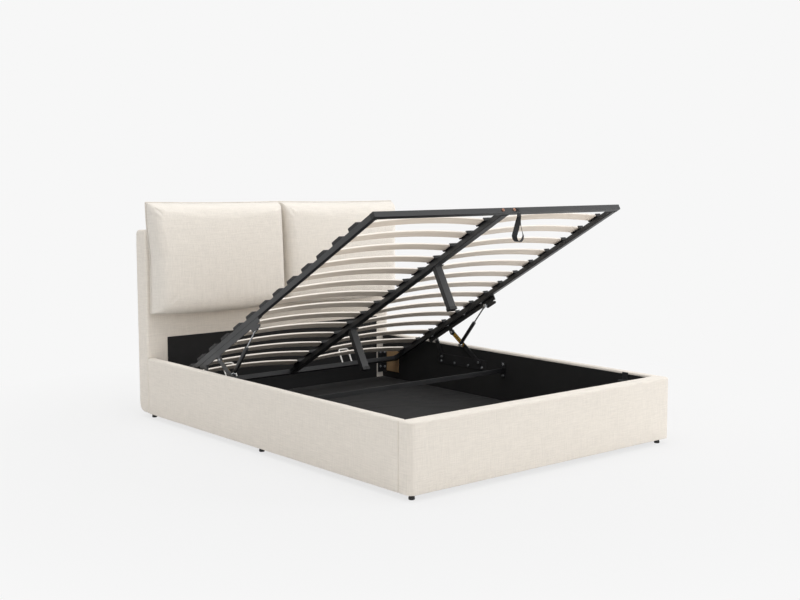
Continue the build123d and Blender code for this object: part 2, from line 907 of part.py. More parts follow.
with BuildPart() as strut_studs:
    add(disc(strut_tip, stud_head_face, lift_bar_face, pin_radius))
    add(disc(strut_tip, stud_head_face - strut_stud_head, stud_head_face, pin_head_radius))
save_both(strut_studs.part, "strut_studs")


# Gas struts: the rod hangs from the platform, the cylinder slides on it towards the arm
strut_reach = math.dist(strut_base, strut_tip)
strut_low_base = between(arm_base, arm_low_tip, strut_on_arm)
closed_reach = math.dist(strut_low_base, closed(strut_top_along, strut_top_drop))
cylinder_length = closed_reach - cylinder_start - rod_showing
strut_dir = Vector(0, strut_tip[0] - strut_base[0], strut_tip[1] - strut_base[1]).normalized()
strut_origin = Vector(strut_x, *strut_base)


def strut_plane(reach):
    """A plane square to the strut at a distance from its lower eye."""
    return Plane(origin=strut_origin + strut_dir * reach, x_dir=(1, 0, 0), z_dir=strut_dir)


cylinder_mouth = cylinder_start + cylinder_length
bore_length = cylinder_length - 2 * cylinder_end
cylinder_stud_end = arm_face - doubler_thickness - seat_gap
eye_back = strut_x + strut_eye_width / 2

with BuildPart() as cylinder:
    with BuildSketch(strut_plane(cylinder_start)):
        Circle(cylinder_radius)
    extrude(amount=cylinder_length)
    fillet(cylinder.edges(), cylinder_wall)
    with BuildSketch(strut_plane(cylinder_start + cylinder_end)):
        Circle(cylinder_radius - cylinder_wall)
    extrude(amount=bore_length, mode=Mode.SUBTRACT)
    with BuildSketch(strut_plane(cylinder_start + cylinder_end)):
        Circle(rod_radius + pivot_clearance)
    extrude(amount=cylinder_length, mode=Mode.SUBTRACT)
    with BuildSketch(strut_plane(0)):
        Circle(rod_radius)
    extrude(amount=cylinder_start + cylinder_end)
    add(disc(strut_base, strut_x - strut_eye_width / 2, eye_back, strut_eye_radius))
    add(disc(strut_base, eye_back, cylinder_stud_end, pin_radius))
save_sides(cylinder.part, "strut_cylinder")

piston_start = cylinder_mouth - cylinder_end - piston_rest

with BuildPart() as rod:
    with BuildSketch(strut_plane(piston_start)):
        Circle(piston_radius)
    extrude(amount=piston_length)
    with BuildSketch(strut_plane(piston_start)):
        Circle(rod_radius)
    extrude(amount=strut_reach - piston_start)
    add(disc(strut_tip, strut_x - strut_eye_width / 2, eye_back, strut_eye_radius))
    eye_front = strut_x - strut_eye_width
    add(disc(strut_tip, eye_front, eye_back, pin_radius + pivot_clearance), mode=Mode.SUBTRACT)
save_sides(rod.part, "strut_rod")


# Pull strap: a webbing tab screwed to the foot tube and a loop that hangs from it
tube_low_edge = raised(0, tube_height)
tab_middle = (strap_offset, -tube_height / 2)
tab_face = platform_across(0)
loop_top = tube_low_edge[1] - strap_gap
loop_y = tube_low_edge[0] - strap_thickness
neck_low = loop_top - strap_neck
bulge_z = neck_low - strap_loop_length + strap_loop_half

with BuildPart() as strap_tab:
    with BuildSketch(tab_face):
        with Locations(tab_middle):
            Rectangle(strap_width, strap_tab_height)
    extrude(amount=strap_thickness)
save(strap_tab.part, "strap_tab")

with BuildPart() as strap_screw:
    with BuildSketch(tab_face.offset(strap_thickness)):
        with Locations(tab_middle):
            Circle(strap_screw_radius)
    extrude(amount=strap_screw_height)
    screw_rim = strap_screw.edges().sort_by(Axis(platform_corner, platform_along))[0]
    fillet(screw_rim, strap_screw_height / 2)
save(strap_screw.part, "strap_screw")


def strap_outline(inset):
    """The teardrop outline of the loop, drawn in by an inset from its outside."""
    half = strap_loop_half - inset
    with BuildSketch() as outline:
        with BuildLine():
            neck = (strap_offset, neck_low - inset * strap_loop_length / strap_loop_half + inset)
            left, right = (strap_offset - half, bulge_z), (strap_offset + half, bulge_z)
            Line(neck, left)
            ThreePointArc(left, (strap_offset, bulge_z - half), right)
            Line(right, neck)
        make_face()
    return outline.sketch


with BuildPart() as pull_strap:
    with BuildSketch(across(loop_y)):
        add(strap_outline(0))
        add(strap_outline(strap_thickness), mode=Mode.SUBTRACT)
    extrude(amount=strap_width / 2, both=True)
    corner_box(
        (strap_offset - strap_width / 2, loop_y - strap_thickness, neck_low - strap_thickness),
        (strap_offset + strap_width / 2, loop_y + strap_thickness, loop_top),
    )
save(pull_strap.part, "pull_strap")


# Bolts that show: in the rails, on the lift bars and on the foot tube
def facing_in(x, y, z):
    """A bolt seat on the right-hand side that faces the middle of the bed."""
    return Plane(origin=(x, y, z), z_dir=(-1, 0, 0))


hinge_bolt_span = hinge_plate_end - hinge_plate_start - 2 * hinge_bolt_inset
hinge_bolt_pitch = hinge_bolt_span / (hinge_bolt_count - 1)
lift_bolt_span = lift_bar_length - lift_bolt_foot_inset - lift_bolt_head_inset
lift_bolt_pitch = lift_bolt_span / (lift_bolt_count - 1)
corner_top = corner_bottom + corner_height
corner_rows = (corner_bottom + corner_bolt_margin, corner_top - corner_bolt_margin)
corner_reach = (corner_leg + corner_thickness) / 2

with BuildPart() as rail_bolts:
    for row in corner_rows:
        for corner_y, inward in ((foot_inner, 1), (bracket_head, -1)):
            side_y = corner_y + inward * corner_reach
            add(bolt_head(facing_in(half_inner - corner_thickness, side_y, row)))
            leg_seat = (half_inner - corner_reach, corner_y + inward * corner_thickness, row)
            add(bolt_head(Plane(origin=leg_seat, z_dir=(0, inward, 0))))
    for side in (-1, 1):
        row = cross_plate_z + side * cross_bolt_spacing / 2
        add(bolt_head(facing_in(cross_end, cross_y, row)))
    for k in range(hinge_bolt_count):
        bolt_y = hinge_plate_start + hinge_bolt_inset + k * hinge_bolt_pitch
        add(bolt_head(facing_in(hinge_plate_face, bolt_y, hinge_plate_bottom + hinge_bolt_rise)))
save_both(rail_bolts.part, "rail_bolts")

with BuildPart() as lift_bar_bolts:
    for k in range(lift_bolt_count):
        bolt_along = lift_bar_start + lift_bolt_foot_inset + k * lift_bolt_pitch
        bolt_place = raised(bolt_along, tube_height + lift_bar_flange)
        bolt_x = half_platform - tube_width + flange_width / 2
        add(bolt_head(Plane(origin=(bolt_x, *bolt_place), z_dir=platform_up * -1)))
save_both(lift_bar_bolts.part, "lift_bar_bolts")

with BuildPart() as joint_bolts:
    for side in (-1, 1):
        bolt_x = joint_bolt_centre + side * joint_bolt_offset
        bolt_place = raised(0, tube_height / 2)
        add(bolt_head(Plane(origin=(bolt_x, *bolt_place), z_dir=platform_along * -1)))
save(joint_bolts.part, "joint_bolts")
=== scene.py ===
"""Dressed model of an upholstered ottoman storage bed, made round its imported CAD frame.

Frame: metres, +X across the bed, +Y from foot to head, +Z up, the platform raised.
"""
import math

import bmesh
import bpy
import numpy as np
from bpy.props import FloatProperty, FloatVectorProperty, IntProperty, PointerProperty
from mathutils import Matrix, Vector, noise


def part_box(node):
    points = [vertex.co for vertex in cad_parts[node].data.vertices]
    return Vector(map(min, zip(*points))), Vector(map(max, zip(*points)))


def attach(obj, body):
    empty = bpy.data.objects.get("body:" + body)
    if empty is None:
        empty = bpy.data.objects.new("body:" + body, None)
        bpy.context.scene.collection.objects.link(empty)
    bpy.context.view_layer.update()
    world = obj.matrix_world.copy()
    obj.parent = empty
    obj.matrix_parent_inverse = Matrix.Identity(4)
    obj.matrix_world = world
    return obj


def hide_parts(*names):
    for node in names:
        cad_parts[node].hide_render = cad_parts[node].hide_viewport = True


bl_info = {
    "name": "Ottoman storage bed",
    "version": (1, 0, 0),
    "blender": (4, 5, 0),
    "location": "View3D > Sidebar > Bed",
    "description": "Upholstery, slatted platform and lift mechanism of a storage bed",
    "category": "Object",
}

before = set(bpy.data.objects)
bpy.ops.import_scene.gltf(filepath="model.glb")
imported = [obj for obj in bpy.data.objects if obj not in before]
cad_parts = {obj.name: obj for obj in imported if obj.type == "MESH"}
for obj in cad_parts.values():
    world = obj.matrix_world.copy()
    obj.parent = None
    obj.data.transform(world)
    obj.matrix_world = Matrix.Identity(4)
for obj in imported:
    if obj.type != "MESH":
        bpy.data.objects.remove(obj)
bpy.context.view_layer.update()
SIDES = (("left", -1), ("right", 1))
TUBE = 0.025  # the side of the platform's square tubes
PAST = 0.01  # how far a cutter reaches past what it cuts


def linear(code):
    """An sRGB hex colour as linear red, green, blue and alpha."""
    parts = [int(code[k:k + 2], 16) / 255 for k in (1, 3, 5)]
    return [c / 12.92 if c <= 0.04045 else ((c + 0.055) / 1.055) ** 2.4 for c in parts] + [1.0]


def number(name, value, description, **more):
    """A number setting."""
    return FloatProperty(name=name, description=description, default=value, **more)


def length(name, value, description):
    """A length setting in metres."""
    return number(name, value, description, min=0, precision=4, unit="LENGTH")


def colour(name, code, description):
    """A colour setting from its sRGB hex value."""
    return FloatVectorProperty(
        name=name, description=description, default=linear(code), size=4, min=0, max=1, subtype="COLOR"
    )


# Settings

class UpholsterySettings(bpy.types.PropertyGroup):
    """Fabric, foam and linings of the bed box"""
    fabric: colour("Fabric", "#E3DCD2", "Yarn colour of the rails and headboard")
    cushion_fabric: colour("Cushion fabric", "#E0DAD1", "Yarn colour of the two cushions")
    lining: colour("Lining", "#0C0C0D", "Colour of the black inner lining")
    floor_cloth: colour("Floor cloth", "#101011", "Colour of the cloth on the storage floor")
    yarn: length("Yarn spacing", 0.0034, "Spacing of the weave as drawn")
    slub: length("Slub length", 0.06, "Length of the thick places in the yarn")
    waviness: length("Foam waviness", 0.0007, "How far the foam under the fabric rises and falls")
    rail_edge: length("Rail edge radius", 0.009, "Radius of the rails' top edges")
    corner: length("Foot corner radius", 0.026, "Radius of the foot rail's outer corners")
    butt: length("Butt seam radius", 0.007, "Radius of the edges that meet at the butt seam")
    headboard_edge: length("Headboard edge radius", 0.024, "Radius of the headboard's top edges")
    headboard_low: length("Headboard low radius", 0.048, "Radius of the headboard's low back edge")
    headboard_end: length("Headboard end radius", 0.014, "Radius of the headboard's side edges")
    wrinkle: length("Floor cloth wrinkle", 0.0065, "Height of the wrinkles in the floor cloth")


class CushionSettings(bpy.types.PropertyGroup):
    """The two headboard cushions"""
    grid: length("Grid", 0.0085, "Size of one cell of the simulated cloth")
    draw: length("Side draw", 0.004, "How far each side pulls in between the corners")
    taper: length("Outer taper", 0.017, "How far the outer sides pull in below the top corners")
    ear: length("Ear", 0.009, "How far the outer top corners stand out over the frame's box")
    belly: length("Belly", 0.015, "How far the bottom edge hangs down in its middle")
    slump: length("Slump", 0.018, "How much lower the top edge lies at the right end than at the left")
    back: length("Back band", 0.02, "How far the seam stands in front of the headboard")
    lean: number("Lean", 0.31, "How much thinner the filling lies towards the top", min=0)
    travel: length("Travel cap", 0.004, "Farthest that the simulation may move a point")
    pucker: length("Pucker depth", 0.0013, "Depth of the short puckers along the seam")
    gather: length("Gather depth", 0.0034, "Depth of the folds that rise from the bottom seam")
    seam: length("Seam ridge radius", 0.0026, "Radius of the sewn ridge round the cushion")
    pressure: number("Pressure", 4.0, "Filling pressure of the cloth simulation", min=0)
    spare: number(
        "Spare cloth", 0.022, "How much larger the cloth is cut than the form",
        min=0, max=0.2, subtype="FACTOR",
    )


class PlatformSettings(bpy.types.PropertyGroup):
    """Steel frame, slats and lift mechanism"""
    steel: colour("Steel", "#18191B", "Powder coat of the frame and the links")
    plastic: colour("Plastic", "#141415", "Moulded holders and caps")
    slat: colour("Slat", "#F8EBDC", "Birch veneer of the slats")
    slat_edge: length("Slat edge radius", 0.0024, "Radius of the slats' long edges")
    weld_pitch: length("Weld ripple pitch", 0.0024, "Distance between two ripples of a weld")
    weld_size: length("Weld ripple size", 0.0021, "Radius of one weld ripple")
    seed: IntProperty(name="Slat seed", description="Seed of the slats' tones", default=7, min=0)


class StageSettings(bpy.types.PropertyGroup):
    """Floor, lights and camera"""
    backdrop: colour("Backdrop", "#F7F7F7", "Colour of the floor and background")
    fill: number("Fill", 0.66, "Strength of the light from all round")
    key: number("Key", 64, "Power of the light on the foot", unit="POWER")
    top: number("Top", 136, "Power of the light overhead", unit="POWER")
    front: number("Front", 6, "Power of the low light in front", unit="POWER")
    side: number("Side", 42, "Power of the light from the right", unit="POWER")
    lens: number("Lens", 54.13, "Focal length", unit="CAMERA")
    shift: number("Shift", -0.0118, "Sideways shift of the lens")
    place: FloatVectorProperty(
        name="Camera place", description="Where the camera stands",
        default=(-3.713, -4.527, 1.275), subtype="TRANSLATION",
    )
    turn: number("Turn", math.radians(40.29), "Camera's heading, clockwise from +Y", subtype="ANGLE")
    pitch: number("Pitch", math.radians(6.19), "How far the camera looks down", subtype="ANGLE")


# Materials

def add(tree, kind, inputs=None, **settings):
    """Add a node, with its settings and the values or links of its inputs."""
    node = tree.nodes.new(kind)
    for key, value in settings.items():
        setattr(node, key, value)
    for key, value in (inputs or {}).items():
        if isinstance(value, bpy.types.NodeSocket):
            tree.links.new(value, node.inputs[key])
        else:
            node.inputs[key].default_value = value
    return node


def empty_tree(owner):
    """The node tree of a new material or world, with nothing in it."""
    owner.use_nodes = True
    owner.node_tree.nodes.clear()
    return owner.node_tree


def blank(name, **values):
    """A new material with a shader whose sockets have these constant values."""
    material = bpy.data.materials.new(name)
    tree = empty_tree(material)
    names = {"specular_ior_level": "Specular IOR Level", "ior": "IOR"}
    sockets = {names.get(key, key.replace("_", " ").title()): value for key, value in values.items()}
    shader = add(tree, "ShaderNodeBsdfPrincipled", sockets)
    add(tree, "ShaderNodeOutputMaterial", {"Surface": shader.outputs[0]})
    return material, tree, shader


def maths(tree, operation, *values):
    """The result of a maths node."""
    return add(tree, "ShaderNodeMath", dict(enumerate(values)), operation=operation).outputs[0]


def sine(tree, value, pitch):
    """A wave of a value with this pitch, from -1 to 1."""
    return maths(tree, "SINE", maths(tree, "MULTIPLY", value, 2 * math.pi / pitch))


def split(tree, vector):
    """The three parts of a vector."""
    return add(tree, "ShaderNodeSeparateXYZ", {0: vector}).outputs


def object_place(tree):
    """Places on the object, in metres."""
    return add(tree, "ShaderNodeTexCoord").outputs["Object"]


def strip_place(tree):
    """Places along and round a slat or a tape, in metres."""
    return add(tree, "ShaderNodeUVMap", uv_map="grain").outputs[0]


def grain(tree, place, scale, detail=2.0, rough=0.5):
    """Noise with this many cells per metre: one number, or one for each axis."""
    scale = scale if isinstance(scale, tuple) else (scale,) * 3
    vector = add(tree, "ShaderNodeMapping", {"Vector": place, "Scale": scale}).outputs[0]
    inputs = {"Vector": vector, "Scale": 1.0, "Detail": detail, "Roughness": rough}
    return add(tree, "ShaderNodeTexNoise", inputs).outputs["Fac"]


def ramp(tree, value, low, high, first=0.0, last=1.0):
    """A value moved from one range to another and kept inside it."""
    inputs = {"Value": value, "From Min": low, "From Max": high, "To Min": first, "To Max": last}
    return add(tree, "ShaderNodeMapRange", inputs).outputs["Result"]


def blend_colours(tree, factor, first, second):
    """Two colours mixed by a factor."""
    inputs = {"Factor": factor, 6: first, 7: second}
    return add(tree, "ShaderNodeMix", inputs, data_type="RGBA").outputs[2]


def tinted(code, share):
    """A linear colour made darker or lighter."""
    return [min(1.0, c * share) for c in code[:3]] + [1.0]


def shades(tree, factor, base, dark, light):
    """One colour between a darker and a lighter share of it."""
    return blend_colours(tree, factor, tinted(base, dark), tinted(base, light))


def surface(tree, shader, base, height, distance, strength, rough=None):
    """Link a shader's colour, its relief and, if given, its roughness."""
    tree.links.new(base, shader.inputs["Base Color"])
    if rough:
        tree.links.new(rough, shader.inputs["Roughness"])
    inputs = {"Height": height, "Distance": distance, "Strength": strength}
    tree.links.new(add(tree, "ShaderNodeBump", inputs).outputs[0], shader.inputs["Normal"])


def woven_linen_look(name, yarn_colour, yarn, slub):
    """Polyester woven like linen: a matt plain weave whose uneven yarns leave faint streaks both ways.

    The real yarns are about 1 mm apart, too fine to show here, so the weave is drawn coarser.
    """
    material, tree, shader = blank(
        name, roughness=0.92, sheen_weight=0.22, sheen_roughness=0.55, specular_ior_level=0.25
    )
    place = object_place(tree)
    weft = grain(tree, place, (1 / slub, 1 / slub, 1 / yarn), 3.0, 0.6)
    warp = grain(tree, place, (1 / yarn, 1 / yarn, 1 / slub), 3.0, 0.6)
    streak = maths(tree, "ADD", weft, warp)
    worn = shades(tree, ramp(tree, streak, 0.72, 1.28), yarn_colour, 0.91, 1.06)
    patch = ramp(tree, grain(tree, place, 9), 0.3, 0.7, 0.0, 0.12)
    base = blend_colours(tree, patch, worn, tinted(yarn_colour, 0.9))
    # Threads run across and up on upright faces, and both ways across on lying ones
    x, y, z = split(tree, place)
    normal = add(tree, "ShaderNodeNewGeometry").outputs["Normal"]
    lying = maths(tree, "GREATER_THAN", maths(tree, "ABSOLUTE", split(tree, normal)[2]), 0.75)
    other = add(tree, "ShaderNodeMix", {0: lying, 2: z, 3: maths(tree, "SUBTRACT", x, y)}).outputs[0]
    across = maths(tree, "ADD", x, y)
    knot = maths(tree, "MULTIPLY", sine(tree, across, yarn), sine(tree, other, yarn))
    surface(tree, shader, base, maths(tree, "MULTIPLY_ADD", knot, 0.22, streak), 0.0011, 0.75)
    return material


def spunbond_cloth(name, fibre, spot, fold):
    """Black spun-bonded polypropylene: matt, with a fine grid of bond points and soft cloudy tone.

    The bond points are 1.5 mm apart in the real cloth and are drawn coarser to show.
    """
    material, tree, shader = blank(
        name, roughness=0.8, sheen_weight=0.05, sheen_roughness=0.6, specular_ior_level=0.35
    )
    place = object_place(tree)
    cloud = grain(tree, place, 14, 3.0, 0.6)
    inputs = {"Vector": place, "Scale": 1 / spot, "Randomness": 0.25}
    dots = add(tree, "ShaderNodeTexVoronoi", inputs).outputs["Distance"]
    base = shades(tree, ramp(tree, cloud, 0.3, 0.7), fibre, 0.75, 1.3)
    surface(tree, shader, base, maths(tree, "MULTIPLY_ADD", cloud, fold, dots), 0.0006, 0.6)
    return material


def clouded(name, colours, cloud, rough, fine, relief, window=(0.3, 0.7), **values):
    """A hard finish whose tone and gloss drift in clouds over a fine grain.

    The cloud and the grain are noises (cells per metre, detail, roughness), and the relief is the
    grain's distance and strength.
    """
    material, tree, shader = blank(name, **values)
    place = object_place(tree)
    drift = grain(tree, place, *cloud)
    base = blend_colours(tree, ramp(tree, drift, *window), *colours)
    gloss = ramp(tree, drift, 0.3, 0.7, *rough)
    surface(tree, shader, base, grain(tree, place, *fine), *relief, gloss)
    return material


def powder_coated_steel(name, paint):
    """Steel with baked polyester powder: satin charcoal with a fine orange peel 2 mm across."""
    return clouded(
        name, (tinted(paint, 0.86), tinted(paint, 1.18)), (7, 3.0), (0.42, 0.56), (500,),
        (0.0002, 0.35), specular_ior_level=0.5, coat_weight=0.25, coat_roughness=0.3,
    )


def moulded_polypropylene(name, resin):
    """Injection-moulded black polypropylene: dull, with the fine spark-eroded grain of its mould."""
    return clouded(
        name, (tinted(resin, 0.8), tinted(resin, 1.3)), (30,), (0.46, 0.62), (900,),
        (0.00015, 0.4), specular_ior_level=0.45, ior=1.49,
    )


def plated_metal(name, plate, dark, rough, scale):
    """Zinc or copper plating, or ground chrome: bright metal whose tone and gloss drift in clouds."""
    return clouded(
        name, (linear(plate), linear(dark)), (scale, 3.0, 0.6), rough, (1200, 1.0),
        (0.00005, 0.3), window=(0.35, 0.65), metallic=1.0,
    )


def laminated_birch(name, veneer, ply):
    """Steamed birch veneers pressed into a bow: pale, fine grain along the slat and layers on its edge.

    The slat's UV map is in metres: along it, and round its section with the edges set 1 m apart.
    """
    material, tree, shader = blank(name, ior=1.5, specular_ior_level=0.4)
    strip = strip_place(tree)
    tone = add(tree, "ShaderNodeAttribute", attribute_name="tone").outputs["Fac"]
    shift = add(tree, "ShaderNodeCombineXYZ", {2: ramp(tree, tone, 0, 1, 0, 40)}).outputs[0]
    place = add(tree, "ShaderNodeVectorMath", {0: strip, 1: shift}, operation="ADD").outputs[0]
    fibre = grain(tree, place, (7, 520, 1), 4.0, 0.65)
    mixed = maths(tree, "ADD", fibre, grain(tree, place, (2.2, 46, 1)))
    light = shades(tree, ramp(tree, mixed, 0.75, 1.25), veneer, 0.92, 1.07)
    aged = blend_colours(tree, ramp(tree, tone, 0, 1, 0, 0.18), light, linear("#D8BFA6"))
    section = split(tree, strip)[1]
    layers = shades(tree, ramp(tree, sine(tree, section, ply), -0.6, 0.6), linear("#F6EFE6"), 0.86, 1.05)
    base = blend_colours(tree, maths(tree, "GREATER_THAN", section, 0.5), aged, layers)
    surface(tree, shader, base, fibre, 0.0002, 0.5, ramp(tree, fibre, 0.3, 0.7, 0.42, 0.58))
    return material


def board_wood(name, face, across, along, layer):
    """Sawn board or plywood: streaky faces with layers that show along its edges."""
    material, tree, shader = blank(name, ior=1.5, specular_ior_level=0.35)
    place = object_place(tree)
    fibre = grain(tree, place, (1 / across, 1 / across, 1 / along), 4.0, 0.6)
    mixed = maths(tree, "ADD", fibre, grain(tree, place, (1 / layer, 3, 3), 1.0))
    base = shades(tree, ramp(tree, mixed, 0.7, 1.3), linear(face), 0.7, 1.12)
    surface(tree, shader, base, fibre, 0.0003, 0.5, ramp(tree, fibre, 0.3, 0.7, 0.6, 0.8))
    return material


def nylon_webbing(name, yarn_colour, rib):
    """Black nylon webbing: narrow ribs across the tape and a herringbone of bright filaments."""
    material, tree, shader = blank(
        name, roughness=0.7, sheen_weight=0.3, sheen_roughness=0.4, specular_ior_level=0.4
    )
    along, across, _ = split(tree, strip_place(tree))
    weave = maths(tree, "MULTIPLY", sine(tree, along, rib), sine(tree, across, 1.6 * rib))
    base = shades(tree, ramp(tree, weave, -1, 1), yarn_colour, 0.6, 1.7)
    surface(tree, shader, base, weave, 0.0004, 0.8)
    return material


def make_materials(context):
    """Every finish of the bed, by its slot."""
    soft, hard = context.scene.bed_upholstery, context.scene.bed_platform
    weave, cushion = (soft.yarn, soft.slub), soft.cushion_fabric[:]
    found = {
        "cream_fabric": woven_linen_look("linen_look_polyester", soft.fabric[:], *weave),
        "cushion_fabric": woven_linen_look("linen_look_polyester_cushion", cushion, *weave),
        "black_lining": spunbond_cloth("black_spunbond_lining", soft.lining[:], 0.003, 1.0),
        "floor_cloth": spunbond_cloth("black_spunbond_floor_cloth", soft.floor_cloth[:], 0.003, 2.5),
        "black_steel": powder_coated_steel("charcoal_powder_coated_steel", hard.steel[:]),
        "black_plastic": moulded_polypropylene("black_polypropylene", hard.plastic[:]),
        "birch": laminated_birch("laminated_birch", hard.slat[:], 0.0016),
        "plywood": board_wood("birch_plywood", "#AD8D68", 0.004, 0.09, 0.0014),
        "board": board_wood("pine_board", "#B99A73", 0.006, 0.2, 0.02),
        "hardboard": board_wood("brown_hardboard", "#7A5A3C", 0.002, 0.002, 0.002),
        "yellow_zinc": plated_metal("yellow_passivated_zinc", "#F5CC5E", "#DBA73C", (0.42, 0.58), 60),
        "zinc": plated_metal("bright_zinc_plate", "#C9CBCD", "#9C9FA3", (0.2, 0.4), 90),
        "chrome_rod": plated_metal("ground_hard_chrome", "#B9BBBE", "#96989C", (0.16, 0.3), 50),
        "coppery_bolt": plated_metal("copper_flashed_steel", "#B98E7A", "#8A6656", (0.34, 0.5), 120),
        "white_wire": powder_coated_steel("white_coated_wire", linear("#E6E4E0")),
        "webbing": nylon_webbing("black_nylon_webbing", linear("#1B1B1D"), 0.0024),
    }
    for slot_name, material in found.items():
        material["bed_slot"] = slot_name


def finish_for(slot_name):
    """The material made for a slot."""
    for material in bpy.data.materials:
        if material.get("bed_slot") == slot_name:
            return material
    raise RuntimeError(f"make the materials first: there is none for {slot_name}")


# Meshes and pieces

def link(name, data):
    """An object at the origin with this data, in the scene."""
    made = bpy.data.objects.new(name, data)
    bpy.context.scene.collection.objects.link(made)
    return made


def shade(mesh, sharp=40.0):
    """Smooth faces, with creases above an angle."""
    mesh.shade_smooth()
    mesh.set_sharp_from_angle(angle=math.radians(sharp))
    return mesh


def to_mesh(bm, name, sharp=40.0, outward=False):
    """Close a bmesh into a smooth mesh, with its faces turned outward if asked."""
    if outward:
        bmesh.ops.recalc_face_normals(bm, faces=bm.faces)
    mesh = bpy.data.meshes.new(name)
    bm.to_mesh(mesh)
    bm.free()
    return shade(mesh, sharp)


def bake(made):
    """Apply an object's modifiers to its mesh."""
    graph = bpy.context.evaluated_depsgraph_get()
    plain = bpy.data.meshes.new_from_object(
        made.evaluated_get(graph), preserve_all_data_layers=True, depsgraph=graph
    )
    made.modifiers.clear()
    made.data = plain
    plain.name = made.name
    return plain


def place_piece(made, body, slot_name, *nodes):
    """Give a finished object its slot's material, put it under its body, and hide the nodes it stands
    for.
    """
    if not len(made.data.materials):
        made.data.materials.append(finish_for(slot_name))
    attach(made, body)
    if nodes:
        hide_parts(*nodes)
    return made


def piece(bm, name, body, slot_name, *nodes, sharp=40.0, outward=False):
    """A finished piece from a bmesh."""
    return place_piece(link(name, to_mesh(bm, name, sharp, outward)), body, slot_name, *nodes)


def crisp(made):
    """Keep flat faces flat beside their rounded edges."""
    modifier = made.modifiers.new("even_light", "WEIGHTED_NORMAL")
    modifier.keep_sharp = True
    return made


def cad_copy(node):
    """A node's triangles as one merged bmesh with its flat faces whole again."""
    bm = bmesh.new()
    bm.from_mesh(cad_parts[node].data)
    bmesh.ops.remove_doubles(bm, verts=bm.verts, dist=1e-5)
    bmesh.ops.dissolve_limit(
        bm, angle_limit=math.radians(0.6), verts=bm.verts, edges=bm.edges, delimit={"NORMAL"}
    )
    return bm


def bevel_edges(bm, width, segments=2, above=38.0):
    """Round every edge that is sharper than an angle."""
    limit = math.radians(above)
    edges = [e for e in bm.edges if len(e.link_faces) == 2 and e.calc_face_angle(0) > limit]
    bmesh.ops.bevel(
        bm, geom=edges, offset=width, offset_type="OFFSET", segments=segments, profile=0.5,
        affect="EDGES", clamp_overlap=True,
    )


def dress(nodes, body, slot_name, width):
    """Each named node as a piece, its edges rounded as its making leaves them."""
    for node in nodes.split():
        bm = cad_copy(node)
        if width:
            bevel_edges(bm, width)
        crisp(piece(bm, f"made_{node}", body, slot_name, node))


def islands(bm):
    """The separate solids of a bmesh, each as its list of vertices."""
    left, found = set(bm.verts), []
    while left:
        stack, group = [left.pop()], []
        while stack:
            vert = stack.pop()
            group.append(vert)
            for edge in vert.link_edges:
                other = edge.other_vert(vert)
                if other in left:
                    left.remove(other)
                    stack.append(other)
        found.append(group)
    return found


def solids(node):
    """Each separate solid of a node as its list of points."""
    bm = cad_copy(node)
    found = [[v.co.copy() for v in group] for group in islands(bm)]
    bm.free()
    return found


def node_points(node):
    """The points of a node's mesh."""
    return [v.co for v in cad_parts[node].data.vertices]


def middle_of(points):
    """The centre of the box round some points, and the box's size."""
    low, high = (Vector([end(p[k] for p in points) for k in range(3)]) for end in (min, max))
    return (low + high) / 2, high - low


def centre_of(node):
    """The centre of a node's box."""
    return sum(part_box(node), Vector()) / 2


def reach_of(points, way, origin=Vector()):
    """The least and the greatest reach of points along a direction."""
    reach = [(p - origin).dot(way) for p in points]
    return min(reach), max(reach)


def platform_axes():
    """The platform's foot corner and its directions along and up, from its two end tubes."""
    foot = centre_of("platform_foot_tube")
    along = (centre_of("platform_head_bar") - foot).normalized()
    up = Vector((1, 0, 0)).cross(along)
    return foot + (up - along) * TUBE / 2, along, up


def stations(low, high, step, fine=(0, 0.0012, 0.003, 0.0055, 0.009, 0.014, 0.02, 0.028)):
    """Places between two ends: close together near each end, and evenly spaced between."""
    near = [f for f in fine if f < (high - low) * 0.45]
    inner = (low + near[-1], high - near[-1])
    count = max(1, round((inner[1] - inner[0]) / step))
    middle = [inner[0] + (inner[1] - inner[0]) * k / count for k in range(1, count)]
    return [low + f for f in near] + middle + [high - f for f in reversed(near)]


def block_shell(places):
    """A closed box skin of quads through the given places on each axis."""
    bm, verts = bmesh.new(), {}
    last = [len(p) - 1 for p in places]
    for axis in range(3):
        u, w = (axis + 1) % 3, (axis + 2) % 3
        for end in (0, last[axis]):
            for i in range(last[u]):
                for j in range(last[w]):
                    ring = []
                    for di, dj in ((0, 0), (1, 0), (1, 1), (0, 1)):
                        key = [end, end, end]
                        key[u], key[w] = i + di, j + dj
                        key = tuple(key)
                        if key not in verts:
                            verts[key] = bm.verts.new([places[k][key[k]] for k in range(3)])
                        ring.append(verts[key])
                    bm.faces.new(ring if end else ring[::-1])
    return bm


def rounded_distance(points, low, high, axis, corners, ends):
    """How far points are outside a block with rounded edges.

    The corners are the radii of the four edges along the axis, and the ends those at its two ends.
    """
    u, w = (axis + 1) % 3, (axis + 2) % 3
    centre, half = (low + high) / 2, (high - low) / 2
    local = points - centre
    radius = np.where(
        local[:, w] < 0,
        np.where(local[:, u] < 0, corners[0], corners[1]),
        np.where(local[:, u] < 0, corners[3], corners[2]),
    )
    q = np.abs(local[:, [u, w]]) - half[[u, w]] + radius[:, None]
    plan = np.minimum(q.max(1), 0) + np.linalg.norm(np.maximum(q, 0), axis=1) - radius
    end = np.where(local[:, axis] < 0, ends[0], ends[1])
    v = np.stack([plan, np.abs(local[:, axis]) - half[axis]], 1) + end[:, None]
    return np.minimum(v.max(1), 0) + np.linalg.norm(np.maximum(v, 0), axis=1) - end


